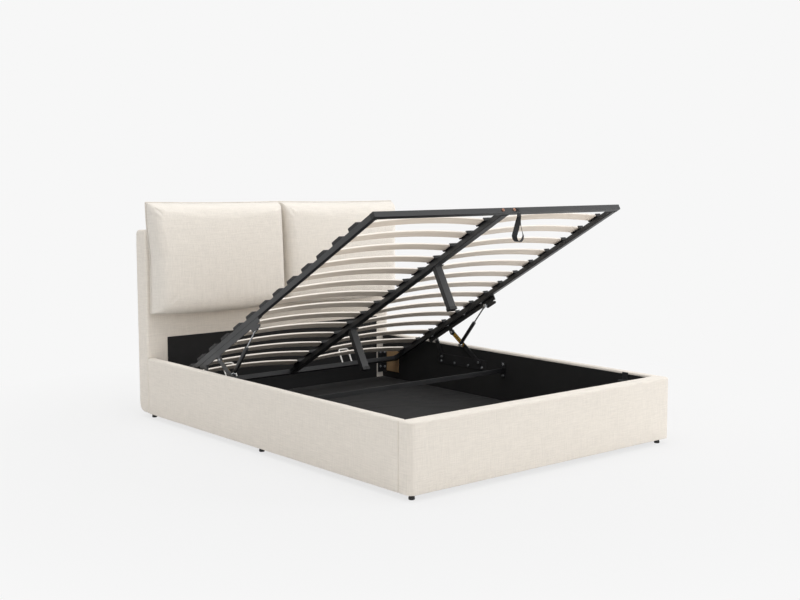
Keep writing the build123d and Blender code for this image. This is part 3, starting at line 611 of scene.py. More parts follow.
def soft_block(low, high, step, axis, corners, ends):
    """A box skin with cells of about the step's size, drawn onto a block with rounded edges."""
    low, high = np.array(low, float), np.array(high, float)
    bm = block_shell([stations(low[k], high[k], step) for k in range(3)])
    points = np.array([v.co for v in bm.verts])
    for _ in range(5):
        away = rounded_distance(points, low, high, axis, corners, ends)
        slope = np.zeros_like(points)
        for k in range(3):
            nudge = np.zeros(3)
            nudge[k] = 1e-5
            ahead = rounded_distance(points + nudge, low, high, axis, corners, ends)
            behind = rounded_distance(points - nudge, low, high, axis, corners, ends)
            slope[:, k] = (ahead - behind) / 2e-5
        scale = np.maximum((slope ** 2).sum(1), 1e-6)
        points -= slope * (np.maximum(away, 0) / scale)[:, None]
    for vert, point in zip(bm.verts, points):
        vert.co = point
    bm.normal_update()
    return bm


def ripple(bm, amount, seed):
    """Move each vertex along its normal by an amount that depends on its place."""
    bm.normal_update()
    start = Vector((seed, seed * 1.7, 0))
    moved = [(v, v.normal * amount(v.co, start)) for v in bm.verts]
    for vert, shift in moved:
        vert.co += shift
    bm.normal_update()


def bridge(bm, first, second):
    """Faces between two rings of vertices. A ring may be a single point."""
    count = max(len(first), len(second))
    faces = []
    for k in range(count):
        near = (k + 1) % count
        ring = [first[k % len(first)], first[near % len(first)], second[near % len(second)]]
        faces.append(bm.faces.new(list(dict.fromkeys(ring + [second[k % len(second)]]))))
    return faces


def cap(bm, rings):
    """Close both ends of a row of rings."""
    bm.faces.new(rings[0][::-1])
    bm.faces.new(rings[-1])


def quads(bm, counts, *panels):
    """Faces between the vertices of grids, each given as (grid, 1), or (grid, -1) to face away."""
    for i in range(counts[0]):
        for j in range(counts[1]):
            for grid, order in panels:
                ring = [grid[i, j], grid[i + 1, j], grid[i + 1, j + 1], grid[i, j + 1]]
                bm.faces.new(ring[::order])


def section_cutter(section, axis, start, end):
    """A closed prism: a section of (u, w) points drawn along an axis."""
    bm = bmesh.new()
    rings = [
        [bm.verts.new(np.roll((place, *point), axis).tolist()) for point in section]
        for place in (start, end)
    ]
    bridge(bm, *rings)
    cap(bm, rings)
    return link("cutter", to_mesh(bm, "cutter", outward=True))


def upholstered(bm, name, node, *cutters):
    """A padded node's fabric skin, with prisms cut out of it for the boards inside."""
    made = link(name, to_mesh(bm, name))
    for cutter in cutters:
        modifier = made.modifiers.new("cut", "BOOLEAN")
        modifier.operation, modifier.object, modifier.solver = "DIFFERENCE", cutter, "EXACT"
    shade(bake(made))
    for cutter in cutters:
        bpy.data.objects.remove(cutter)
    if len(made.data.polygons) < 100:
        raise RuntimeError(f"cutting {name} left nothing")
    place_piece(made, "root", "cream_fabric", node)


def lathe(bm, rings, matrix, count=24):
    """Turn a profile of (radius, height) about the matrix's Z axis. A third value 6 makes a hexagon."""
    made = []
    for radius, height, *sides in rings:
        ring = []
        for k in range(count if radius else 1):
            angle, reach = 2 * math.pi * k / count, radius
            if sides:
                half = math.pi / sides[0]
                reach = radius * math.cos(half) / math.cos(angle % (2 * half) - half)
            local = Vector((reach * math.cos(angle), reach * math.sin(angle), height))
            ring.append(bm.verts.new(matrix @ local))
        made.append(ring)
    for pair in zip(made, made[1:]):
        bridge(bm, *pair)
    return bm


def ribbon(points, sides, width, thickness):
    """A flat tape with rounded edges along points, its width along each side vector, with its UV map."""
    bm = bmesh.new()
    layer = bm.loops.layers.uv.new("grain")
    profile = ((-0.5, 0), (-0.47, 0.42), (-0.4, 0.5), (0.4, 0.5), (0.47, 0.42), (0.5, 0))
    profile += ((0.47, -0.42), (0.4, -0.5), (-0.4, -0.5), (-0.47, -0.42))
    rings, runs = [], [0.0]
    for k, (point, side) in enumerate(zip(points, sides)):
        ahead = points[min(k + 1, len(points) - 1)]
        tangent = (ahead - points[max(k - 1, 0)]).normalized()
        side = (side - tangent * side.dot(tangent)).normalized()
        face = tangent.cross(side)
        rings.append([
            bm.verts.new(point + side * (a * width) + face * (b * thickness)) for a, b in profile
        ])
        runs.append(runs[-1] + (ahead - point).length)
    for k, pair in enumerate(zip(rings, rings[1:])):
        for j, face in enumerate(bridge(bm, *pair)):
            near = (j + 1) % len(profile)
            for loop, (s, m) in zip(face.loops, ((k, j), (k, near), (k + 1, near), (k + 1, j))):
                loop[layer].uv = (runs[s], profile[m][0] * width)
    cap(bm, rings)
    return bm


# Node trees for what repeats

def new_tree(name, **inputs):
    """A geometry node tree with named inputs after its geometry, each with its kind of socket."""
    tree = bpy.data.node_groups.new(name, "GeometryNodeTree")
    for label, kind in {"Geometry": "Geometry", **inputs}.items():
        tree.interface.new_socket(label, in_out="INPUT", socket_type=f"NodeSocket{kind}")
    tree.interface.new_socket("Geometry", in_out="OUTPUT", socket_type="NodeSocketGeometry")
    return tree, add(tree, "NodeGroupInput").outputs


def close_tree(tree, instances, material):
    """End a tree with real geometry and its material."""
    real = add(tree, "GeometryNodeRealizeInstances", {0: instances}).outputs[0]
    painted = add(tree, "GeometryNodeSetMaterial", {"Geometry": real, "Material": material})
    add(tree, "NodeGroupOutput", {0: painted.outputs[0]})
    return tree


def row_tree(name):
    """Repeats its own geometry in a row, each copy with its own tone."""
    tree, given = new_tree(name, Count="Int", Step="Vector", Seed="Int", Material="Material")
    line = add(tree, "GeometryNodeMeshLine", {"Count": given["Count"], "Offset": given["Step"]})
    copies = add(
        tree, "GeometryNodeInstanceOnPoints", {"Points": line.outputs[0], "Instance": given["Geometry"]}
    )
    inputs = {"ID": add(tree, "GeometryNodeInputIndex").outputs[0], "Seed": given["Seed"]}
    tone = add(tree, "FunctionNodeRandomValue", inputs, data_type="FLOAT").outputs[1]
    toned = add(
        tree, "GeometryNodeStoreNamedAttribute",
        {"Geometry": copies.outputs[0], "Name": "tone", "Value": tone},
        data_type="FLOAT", domain="INSTANCE",
    )
    return close_tree(tree, toned.outputs[0], given["Material"])


def copies_tree(name):
    """Puts an object on each point, Z along its facing, or evenly along a line, X along it."""
    tree, given = new_tree(name, Piece="Object", Spacing="Float", Material="Material")
    source = add(tree, "GeometryNodeObjectInfo", {"Object": given["Piece"]}).outputs["Geometry"]
    if name == "piece_on_path":
        curve = add(tree, "GeometryNodeMeshToCurve", {"Mesh": given["Geometry"]}).outputs[0]
        inputs = {"Curve": curve, "Length": given["Spacing"]}
        points = add(tree, "GeometryNodeResampleCurve", inputs, mode="LENGTH").outputs[0]
        heading, axis = add(tree, "GeometryNodeInputTangent").outputs[0], "X"
    else:
        points, axis = given["Geometry"], "Z"
        kind = "GeometryNodeInputNamedAttribute"
        heading = add(tree, kind, {"Name": "facing"}, data_type="FLOAT_VECTOR").outputs[0]
    turned = add(tree, "FunctionNodeAlignRotationToVector", {"Vector": heading}, axis=axis).outputs[0]
    inputs = {"Points": points, "Instance": source, "Rotation": turned}
    copies = add(tree, "GeometryNodeInstanceOnPoints", inputs)
    return close_tree(tree, copies.outputs[0], given["Material"])


TREES = {"row_of_copies": row_tree, "piece_on_points": copies_tree, "piece_on_path": copies_tree}


def grow(name, mesh, tree_name, inputs):
    """Run a node tree on a mesh and keep what it makes as a plain mesh."""
    tree = bpy.data.node_groups.get(tree_name) or TREES[tree_name](tree_name)
    made = link(name, mesh)
    modifier = made.modifiers.new("grow", "NODES")
    modifier.node_group = tree
    sockets = {s.name: s.identifier for s in tree.interface.items_tree if s.in_out == "INPUT"}
    for label, value in inputs.items():
        modifier[sockets[label]] = value
    if not len(bake(made).polygons):
        raise RuntimeError(f"the node tree made nothing for {name}")
    return made


def scatter(name, mesh, tree_name, spacing, pattern, slot_name, body, *nodes):
    """Copies of a pattern mesh on the points or lines of another, as one piece."""
    source = link("pattern", pattern)
    inputs = {"Piece": source, "Spacing": spacing, "Material": finish_for(slot_name)}
    made = grow(name, mesh, tree_name, inputs)
    bpy.data.objects.remove(source)
    return place_piece(made, body, slot_name, *nodes)


def on_points(name, places, pattern, slot_name, body, *nodes):
    """One pattern mesh on each (place, facing)."""
    mesh = bpy.data.meshes.new(name)
    mesh.from_pydata([p for p, _ in places], [], [])
    facing = mesh.attributes.new("facing", "FLOAT_VECTOR", "POINT")
    facing.data.foreach_set("vector", [c for _, f in places for c in Vector(f)])
    return scatter(name, mesh, "piece_on_points", 0.0, pattern, slot_name, body, *nodes)


def on_paths(name, lines, spacing, pattern, slot_name, body):
    """One pattern mesh at even spacing along each polyline."""
    points, edges = [], []
    for line in lines:
        edges += [(len(points) + k, len(points) + k + 1) for k in range(len(line) - 1)]
        points += line
    mesh = bpy.data.meshes.new(name)
    mesh.from_pydata(points, edges, [])
    return scatter(name, mesh, "piece_on_path", spacing, pattern, slot_name, body)


# Upholstered bed box

def foam(amount):
    """How the foam under the fabric rises and falls, in metres along the normal."""
    def rise(place, seed):
        broad = noise.noise(Vector((place.x * 7, place.y * 7, place.z * 9)) + seed)
        narrow = noise.noise(Vector((place.x * 26, place.y * 26, place.z * 20)) + seed * 2)
        return amount * (broad + 0.35 * narrow)
    return rise


class BED_OT_rail_covers(bpy.types.Operator):
    """Upholster the side rails and the foot rail"""
    bl_idname = "bed.rail_covers"
    bl_label = "Rail covers"

    def execute(self, context):
        soft = context.scene.bed_upholstery
        for side, sign in SIDES:
            low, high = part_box(f"side_cover_{side}")
            board_low, board_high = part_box(f"side_board_{side}")
            lining_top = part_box("side_linings")[1].z
            outer = soft.rail_edge
            # The four edges along Y, in (z, x) order: low z and low x first
            corners = (0.004, outer, outer, 0.0005)[::-sign]
            bm = soft_block(low, high, 0.014, 1, corners, (soft.butt, soft.butt))
            ripple(bm, foam(soft.waviness), 3.0 * sign)
            inner = low.x if sign > 0 else high.x
            board, far = (board_low.x, board_high.x)[::sign]
            fold = 0.016
            lip, under = inner - sign * PAST, inner + sign * fold
            section = (
                (low.z - PAST, lip), (low.z - PAST, under), (board_low.z, under), (board_low.z, far),
                (board_high.z, far), (board_high.z, board), (lining_top, board), (lining_top, lip),
            )
            cutter = section_cutter(section, 1, low.y - 2 * PAST, high.y + 2 * PAST)
            upholstered(bm, f"side_rail_upholstery_{side}", f"side_cover_{side}", cutter)
        low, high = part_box("foot_cover")
        board_low, board_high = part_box("foot_board")
        lining_low, lining_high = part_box("foot_lining")
        corners = (soft.corner, soft.corner, soft.butt, soft.butt)
        bm = soft_block(low, high, 0.014, 2, corners, (0.004, soft.rail_edge))
        ripple(bm, foam(soft.waviness), 11.0)
        slack, fold = 0.0005, 0.018
        near, far, bottom = board_low.y, board_high.y + slack, board_low.z + slack
        board = ((near, board_low.z), (far, board_low.z), (far, board_high.z), (near, board_high.z))
        under, lip = high.y - fold, high.y + PAST
        lining = (
            (under, low.z - PAST), (lip, low.z - PAST), (lip, lining_high.z),
            (lining_low.y, lining_high.z), (lining_low.y, bottom), (under, bottom),
        )
        upholstered(
            bm, "foot_rail_upholstery", "foot_cover",
            section_cutter(board, 0, board_low.x, board_high.x),
            section_cutter(lining, 0, lining_low.x, lining_high.x),
        )
        return {"FINISHED"}


class BED_OT_headboard(bpy.types.Operator):
    """Upholster the headboard"""
    bl_idname = "bed.headboard"
    bl_label = "Headboard"

    def execute(self, context):
        soft = context.scene.bed_upholstery
        low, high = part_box("headboard_cover")
        core_low, core_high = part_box("headboard_core")
        corners = (0.006, soft.headboard_low, soft.headboard_edge, soft.headboard_edge)
        bm = soft_block(low, high, 0.015, 0, corners, (soft.headboard_end,) * 2)
        ripple(bm, foam(soft.waviness * 1.6), 21.0)
        bottom = core_low.z + 0.004
        section = (
            (core_low.y, bottom), (core_high.y, bottom), (core_high.y, core_high.z),
            (core_low.y, core_high.z),
        )
        cutter = section_cutter(section, 0, core_low.x, core_high.x)
        upholstered(bm, "headboard_upholstery", "headboard_cover", cutter)
        return {"FINISHED"}


def cushion_form(low, high, share, settings):
    """A crowned cushion of two panels that share the seam.

    Gives the bmesh, the points of its seam in order and those of its back.
    """
    wide, tall = (high.x - low.x) / 2, (high.z - low.z) / 2
    centre_x, centre_z = (high.x + low.x) / 2, (high.z + low.z) / 2
    outer = math.copysign(1, centre_x)
    seam_y = high.y - settings.back
    crown = (high.y - low.y - settings.back) * share
    counts = (round(2 * wide / settings.grid), round(2 * tall / settings.grid))
    # The higher the two powers, the nearer to the seam the filling stays full
    power_x, power_z, shoulder = 26, 15, 0.45

    def spread(k, count):
        """A place from -1 to 1, close together near both ends."""
        t = 2 * k / count - 1
        return t * (1.3 - 0.3 * t * t)

    bm = bmesh.new()
    front, back = {}, {}
    for i in range(counts[0] + 1):
        a = spread(i, counts[0])
        for j in range(counts[1] + 1):
            b = spread(j, counts[1])
            x = centre_x + a * (wide - settings.draw * (1 - b * b))
            below = min(1.0, max(0.0, (0.75 - b) / 0.85))
            inward = settings.taper * below * below * (3 - 2 * below) - settings.ear
            x -= outer * max(0.0, a * outer) * inward
            z = centre_z + b * (tall + (settings.belly if b < 0 else -settings.draw) * (1 - a * a))
            z -= settings.slump * max(0.0, b) ** 2 * (0.5 + x / (4 * wide))
            full = ((1 - abs(a) ** power_x) * (1 - abs(b) ** power_z)) ** shoulder
            full *= 1 - 0.05 * a * a - 0.04 * b * b
            broad = noise.noise(Vector((x * 3.1, z * 3.4, centre_x))) * 0.04
            rise = crown * full * (1 - settings.lean * ((b + 1) / 2) ** 2) * (1 + broad * full)
            front[i, j] = bm.verts.new((x, seam_y - rise, z))
            inside = min((1 - abs(a)) * wide, (1 - abs(b)) * tall)
            flat = settings.back * min(1.0, (inside / (0.48 * settings.back)) ** 0.6)
            rim = i in (0, counts[0]) or j in (0, counts[1])
            back[i, j] = front[i, j] if rim else bm.verts.new((x, seam_y + flat, z))
    quads(bm, counts, (front, 1), (back, -1))
    loop = [front[i, 0] for i in range(counts[0])] + [front[counts[0], j] for j in range(counts[1])]
    loop += [front[i, counts[1]] for i in range(counts[0], 0, -1)]
    loop += [front[0, j] for j in range(counts[1], 0, -1)]
    bm.verts.index_update()
    seam = [v.index for v in loop]
    held = {v.index for v in back.values()} - set(seam)
    return bm, seam, held


def puff(cushions, settings):
    """Fill the cushions by cloth simulation, all at once, and keep how far each point moved."""
    scene, frames = bpy.context.scene, 20
    starts = []
    for made, seam, held in cushions:
        group = made.vertex_groups.new(name="held")
        group.add(seam, 0.92, "REPLACE")
        group.add(sorted(held), 0.6, "REPLACE")
        cloth = made.modifiers.new("fill", "CLOTH")
        for key, value in {
            "quality": 6, "mass": 0.25, "tension_stiffness": 18, "compression_stiffness": 12,
            "shear_stiffness": 6, "bending_stiffness": 0.6, "use_pressure": True,
            "uniform_pressure_force": settings.pressure, "shrink_min": -settings.spare,
            "vertex_group_mass": "held", "pin_stiffness": 3,
        }.items():
            setattr(cloth.settings, key, value)
        cloth.settings.effector_weights.gravity = 0
        cloth.collision_settings.use_collision = False
        cloth.collision_settings.use_self_collision = False
        starts.append([v.co.copy() for v in made.data.vertices])
    for number in range(1, frames + 1):
        scene.frame_set(number)
    graph = bpy.context.evaluated_depsgraph_get()
    for (made, _, _), start in zip(cushions, starts):
        ends = [v.co.copy() for v in made.evaluated_get(graph).data.vertices]
        made.modifiers.clear()
        made.vertex_groups.clear()
        for vert, first, last in zip(made.data.vertices, start, ends):
            step = last - first
            if step.length > settings.travel:
                step = step.normalized() * settings.travel
            vert.co = first + step
    scene.frame_set(1)


class BED_OT_cushions(bpy.types.Operator):
    """Fill and sew the two headboard cushions"""
    bl_idname = "bed.cushions"
    bl_label = "Cushions"

    def execute(self, context):
        settings = context.scene.bed_cushions
        # The simulation swells a cushion a little, so its form starts flatter
        share = 1.09
        cushions = []
        for side, _ in SIDES:
            low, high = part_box(f"cushion_{side}")
            bm, seam, held = cushion_form(low, high, share, settings)
            mesh = to_mesh(bm, f"filled_cushion_{side}", 180)
            cushions.append((link(f"filled_cushion_{side}", mesh), seam, held))
        puff(cushions, settings)
        for (side, _), (made, seam, _) in zip(SIDES, cushions):
            low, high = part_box(f"cushion_{side}")
            self.pucker(made, seam, low, high, settings)
            self.seam_ridge(made, seam, side, settings)
            smooth = made.modifiers.new("smooth", "SUBSURF")
            smooth.levels = smooth.render_levels = 1
            place_piece(made, "root", "cushion_fabric", f"cushion_{side}")
        return {"FINISHED"}

    def pucker(self, made, seam, low, high, settings):
        """Gather the cloth beside the seam, most of all above the bottom, and keep the back flat."""
        verts = made.data.vertices
        wide, tall = (high.x - low.x) / 2, (high.z - low.z) / 2
        centre = (low + high) / 2
        normals = [v.normal.copy() for v in verts]
        skip = set(seam)
        seam_reach, fold_height, fold_start = 0.03, 0.075, 0.012
        for vert, normal in zip(verts, normals):
            across = wide - abs(vert.co.x - centre.x)
            rise = tall - abs(vert.co.z - centre.z)
            near = max(0.0, min(across, rise))
            run = vert.co.x if rise < across else vert.co.z
            fine = noise.noise(Vector((run * 55, centre.x * 9, 3.0 if rise < across else 8.0)))
            lift = fine * settings.pucker * math.exp(-near / seam_reach)
            above = max(0.0, vert.co.z - low.z)
            fold = noise.noise(Vector((vert.co.x * 27 + above * 4, centre.x * 5, above * 2.5)))
            fold += 0.5 * noise.noise(Vector((vert.co.x * 52, centre.x * 3, above * 4)))
            fold *= math.exp(-above / fold_height) * min(1.0, above / fold_start)
            lift += fold * settings.gather
            if vert.index not in skip:
                vert.co += normal * lift
            vert.co.y = min(vert.co.y, high.y)

    def seam_ridge(self, made, seam, side, settings):
        """The sewn ridge that runs round the cushion along its seam."""
        line = [made.data.vertices[k].co.copy() for k in seam]
        centre = sum(line, Vector()) / len(line)
        bm = bmesh.new()
        rings, count = [], 8
        for k, point in enumerate(line):
            tangent = (line[(k + 1) % len(line)] - line[k - 1]).normalized()
            out = point - centre
            out = (out - tangent * out.dot(tangent)).normalized()
            face, middle = tangent.cross(out), point + out * 0.0012
            turns = [2 * math.pi * j / count for j in range(count)]
            rings.append([
                bm.verts.new(middle + (out * math.cos(a) + face * math.sin(a)) * settings.seam)
                for a in turns
            ])
        for k, ring in enumerate(rings):
            bridge(bm, ring, rings[(k + 1) % len(rings)])
        piece(bm, f"cushion_seam_{side}", "root", "cushion_fabric", sharp=180, outward=True)


class BED_OT_linings(bpy.types.Operator):
    """Line the inside of the box with black cloth"""
    bl_idname = "bed.linings"
    bl_label = "Linings"

    def execute(self, context):
        for node in ("head_lining", "foot_lining"):
            self.sheet(f"{node}_cloth", *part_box(node), node)
        low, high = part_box("side_linings")
        foot_low, foot_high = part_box("foot_lining")
        thickness = foot_high.y - foot_low.y
        for side, sign in SIDES:
            near = Vector((low.x if sign < 0 else high.x - thickness, low.y, low.z))
            far = Vector((low.x + thickness if sign < 0 else high.x, high.y, high.z))
            nodes = ("side_linings",) if sign < 0 else ()
            self.sheet(f"side_lining_cloth_{side}", near, far, *nodes)
        return {"FINISHED"}

    def sheet(self, name, low, high, *nodes):
        """A stapled lining, a little uneven over its board."""
        bm = soft_block(low, high, 0.022, 2, (0.0004,) * 4, (0.0004, 0.0004))
        ripple(bm, foam(0.0003), 31.0)
        piece(bm, name, "root", "black_lining", *nodes)


class BED_OT_storage_floor(bpy.types.Operator):
    """Lay the floor of the storage box: battens, panels and the cloth over them"""
    bl_idname = "bed.storage_floor"
    bl_label = "Storage floor"

    def execute(self, context):
        soft = context.scene.bed_upholstery
        dress("floor_battens", "root", "board", 0.001)
        dress("floor_panels", "root", "hardboard", 0.0003)
        low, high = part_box("floor_cloth")
        step = 0.0125
        counts = (round((high.x - low.x) / step), round((high.y - low.y) / step))
        # The cloth lies flat along its border and over the centre batten
        border, batten, slope = 0.06, 0.05, 0.08
        bm = bmesh.new()
        grid = {}
        for i in range(counts[0] + 1):
            for j in range(counts[1] + 1):
                x = low.x + (high.x - low.x) * i / counts[0]
                y = low.y + (high.y - low.y) * j / counts[1]
                edge = min(x - low.x, high.x - x, y - low.y, high.y - y)
                rise = self.wrinkle(x, y) * soft.wrinkle * min(1.0, edge / border)
                rise *= min(1.0, max(0.0, (abs(x) - batten) / slope))
                grid[i, j] = bm.verts.new((x, y, high.z + max(0.0, rise)))
        quads(bm, counts, (grid, 1))
        made = link("laid_floor_cloth", to_mesh(bm, "laid_floor_cloth", 180))
        thick = made.modifiers.new("cloth", "SOLIDIFY")
        thick.thickness = (high.z - low.z) * 0.9
        thick.offset = -1
        place_piece(made, "root", "floor_cloth", "floor_cloth")
        return {"FINISHED"}

    def wrinkle(self, x, y):
        """Soft folds that run askew over the floor, from 0 to 1."""
        total = 0.0
        for turn, pitch, seed in ((0.5, 0.19, 0.0), (-0.9, 0.31, 4.0), (1.3, 0.24, 9.0)):
            u = x * math.cos(turn) + y * math.sin(turn)
            v = y * math.cos(turn) - x * math.sin(turn)
            bent = u + 0.07 * noise.noise(Vector((u * 2, v * 2, seed)))
            fold = 1 - abs(2 * noise.noise(Vector((bent / pitch, v * 0.9, seed))))
            strength = max(0.0, noise.noise(Vector((x * 2.1, y * 1.7, seed + 2))) + 0.25)
            total += max(0.0, fold) ** 5 * strength
        return min(1.0, total * 1.2)


class BED_OT_box_parts(bpy.types.Operator):
    """Make the boards, feet, brackets and pads of the box"""
    bl_idname = "bed.box_parts"
    bl_label = "Box parts"

    def execute(self, context):
        dress("headboard_core side_board_left side_board_right foot_board", "root", "board", 0.0008)
        dress("hook_strips", "root", "webbing", 0.0003)
        dress("head_pads", "root", "plywood", 0.0005)
        dress("corner_brackets platform_rests cross_bar cross_bar_plates", "root", "black_steel", 0.0005)
        feet = [middle_of(points) for points in solids("feet")]
        radius, height = feet[0][1].x / 2, feet[0][1].z
        waist = 0.93 * radius
        rings = (
            (0, 0), (0.84 * radius, 0), (waist, 0.0008), (radius, 0.0028), (radius, 0.008),
            (waist, 0.0095), (waist, height - 0.004), (radius, height - 0.003), (radius, height),
            (0, height),
        )
        foot = to_mesh(lathe(bmesh.new(), rings, Matrix.Identity(4), 28), "foot", outward=True)
        places = [(middle - Vector((0, 0, height / 2)), (0, 0, 1)) for middle, _ in feet]
        crisp(on_points("glide_feet", places, foot, "black_plastic", "root", "feet"))
        return {"FINISHED"}


# Slatted platform

class BED_OT_platform_frame(bpy.types.Operator):
    """Finish the platform's steel tubes, caps, legs and welds"""
    bl_idname = "bed.platform_frame"
    bl_label = "Platform frame"

    def execute(self, context):
        for name in ("foot_tube", "head_bar", "side_tube_left", "side_tube_right", "centre_rail"):
            dress(f"platform_{name}", "platform", "black_steel", 0)
        dress("centre_legs", "platform", "black_steel", 0.0016)
        dress("tube_caps", "platform", "black_plastic", 0.0005)
        dress("leg_caps", "platform", "black_plastic", 0.0018)
        dress("mattress_retainers", "platform", "white_wire", 0)
        self.welds(context.scene.bed_platform)
        return {"FINISHED"}

    def welds(self, hard):
        """Beads of weld ripples where the tubes meet and round the legs."""
        corner, along, up = platform_axes()
        across = Vector((1, 0, 0))
        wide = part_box("platform_foot_tube")[1].x + 0.002
        long = (centre_of("platform_head_bar") - corner).dot(along) + TUBE / 2
        clear = TUBE + 0.0002
        lines = []
        for distance in (clear, long - clear):
            for low, high in ((wide - TUBE, wide - 0.002), (-0.018, 0.018), (0.002 - wide, TUBE - wide)):
                for height in (0.0, -TUBE):
                    place = corner + along * distance + up * height
                    lines.append([place + across * low, place + across * high])
            for x in (wide - clear, 0.0202, -0.0202, clear - wide):
                place = corner + along * distance + across * x
                lines.append([place - up * 0.002, place - up * 0.023])
        base = corner - up * 0.0281
        for points in solids("centre_legs"):
            distance = sum(reach_of(points, along, corner)) / 2
            x, y = 0.02, TUBE / 2
            ring = [(-x, -y), (x, -y), (x, y), (-x, y), (-x, -y)]
            lines.append([base + across * u + along * (distance + v) for u, v in ring])
        size = hard.weld_size
        rings = ((0, -0.6), (0.6, -0.45), (1, 0), (0.6, 0.45), (0, 0.6))
        turned = Matrix.Rotation(math.radians(90), 4, "Y") @ Matrix.Scale(size, 4)
        pattern = to_mesh(lathe(bmesh.new(), rings, turned, 8), "ripple", 180, outward=True)
        on_paths("weld_beads", lines, hard.weld_pitch, pattern, "black_steel", "platform")


class BED_OT_slats(bpy.types.Operator):
    """Lay the bowed birch slats and their holders"""
    bl_idname = "bed.slats"
    bl_label = "Slats"

    def execute(self, context):
        hard = context.scene.bed_platform
        axes = platform_axes()
        along = axes[1]
        for side, _ in SIDES:
            node = f"slats_{side}"
            groups, pitch = self.rows(node, along)
            mesh = self.slat(groups[0], *axes, hard.slat_edge)
            seed = hard.seed + len(side)
            self.row(f"birch_slats_{side}", mesh, node, "birch", along, len(groups), pitch, seed)
        for node in ("slat_holders_left", "slat_holders_right", "centre_slat_holders"):
            groups, pitch = self.rows(node, along)
            bm = cad_copy(node)
            starts = [(min(v.co.dot(along) for v in group), group) for group in islands(bm)]
            first = min(start for start, _ in starts)
            extra = [v for start, group in starts for v in group if start > first + pitch / 2]
            bmesh.ops.delete(bm, geom=extra, context="VERTS")
            bevel_edges(bm, 0.0009)
            mesh, count = to_mesh(bm, node), len(groups)
            self.row(f"moulded_{node}", mesh, node, "black_plastic", along, count, pitch, hard.seed)
        return {"FINISHED"}

    def rows(self, node, along):
        """The points of each solid of a node in order along the platform, and their pitch."""
        found = sorted(solids(node), key=lambda points: sum(reach_of(points, along)))
        first, last = (sum(reach_of(found[k], along)) / 2 for k in (0, -1))
        return found, (last - first) / (len(found) - 1)

    def row(self, name, mesh, node, slot_name, along, count, pitch, seed):
        """A mesh repeated along the platform by the row tree."""
        made = grow(name, mesh, "row_of_copies", {
            "Count": count, "Step": tuple(along * pitch), "Seed": seed, "Material": finish_for(slot_name),
        })
        crisp(place_piece(made, "platform", slot_name, node))

    def slat(self, points, corner, along, up, edge):
        """One slat: a flat section with soft edges, drawn along a bow, with its UV map in metres."""
        near, far = reach_of(points, along, corner)
        ends = (min(p.x for p in points), max(p.x for p in points))
        tips = [p for p in points if min(p.x - ends[0], ends[1] - p.x) < 0.001]
        low, tip_top = reach_of(tips, up, corner)
        thick, bow = tip_top - low, reach_of(points, up, corner)[1] - tip_top
        place, half = (near + far) / 2, (far - near) / 2
        span = ends[1] - ends[0]
        radius = (span * span / 4 + bow * bow) / (2 * bow)
        outline = []
        for y, z, start in (
            (half - edge, thick - edge, 0), (edge - half, thick - edge, 90),
            (edge - half, edge, 180), (half - edge, edge, 270),
        ):
            for k in range(4):
                angle = math.radians(start + 30 * k)
                outline.append((y + edge * math.cos(angle), z + edge * math.sin(angle)))
        bm = bmesh.new()
        layer = bm.loops.layers.uv.new("grain")
        rings, count = [], 40
        for k in range(count + 1):
            x = ends[0] + span * k / count
            offset = x - (ends[0] + ends[1]) / 2
            lift = low + math.sqrt(radius * radius - offset * offset) - (radius - bow)
            middle = corner + Vector((x, 0, 0)) + along * place + up * lift
            rings.append([bm.verts.new(middle + along * y + up * z) for y, z in outline])
        for k, pair in enumerate(zip(rings, rings[1:])):
            for j, face in enumerate(bridge(bm, *pair)):
                near = (j + 1) % len(outline)
                (y0, z0), (y1, z1) = outline[j], outline[near]
                on_edge = abs(z1 - z0) > abs(y1 - y0)
                for loop, (s, m) in zip(face.loops, ((k, j), (k, near), (k + 1, near), (k + 1, j))):
                    y, z = outline[m]
                    loop[layer].uv = (span * s / count, 1 + z if on_edge else y + half)
        cap(bm, rings)
        return to_mesh(bm, "slat", 50, outward=True)


# Lift mechanism

def socket_head(radius, height):
    """A turned bolt head with a hexagonal socket, standing on zero."""
    socket, bottom = 0.42 * radius, 0.5 * height
    rings = (
        (0, 0), (radius, 0), (radius, 0.62 * height), (0.94 * radius, 0.86 * height),
        (0.82 * radius, height), (1.12 * socket, height), (socket, 0.95 * height, 6),
        (socket, bottom, 6), (0.3 * socket, 0.88 * bottom), (0, 0.88 * bottom),
    )
    return to_mesh(lathe(bmesh.new(), rings, Matrix.Identity(4)), "bolt", 35, outward=True)


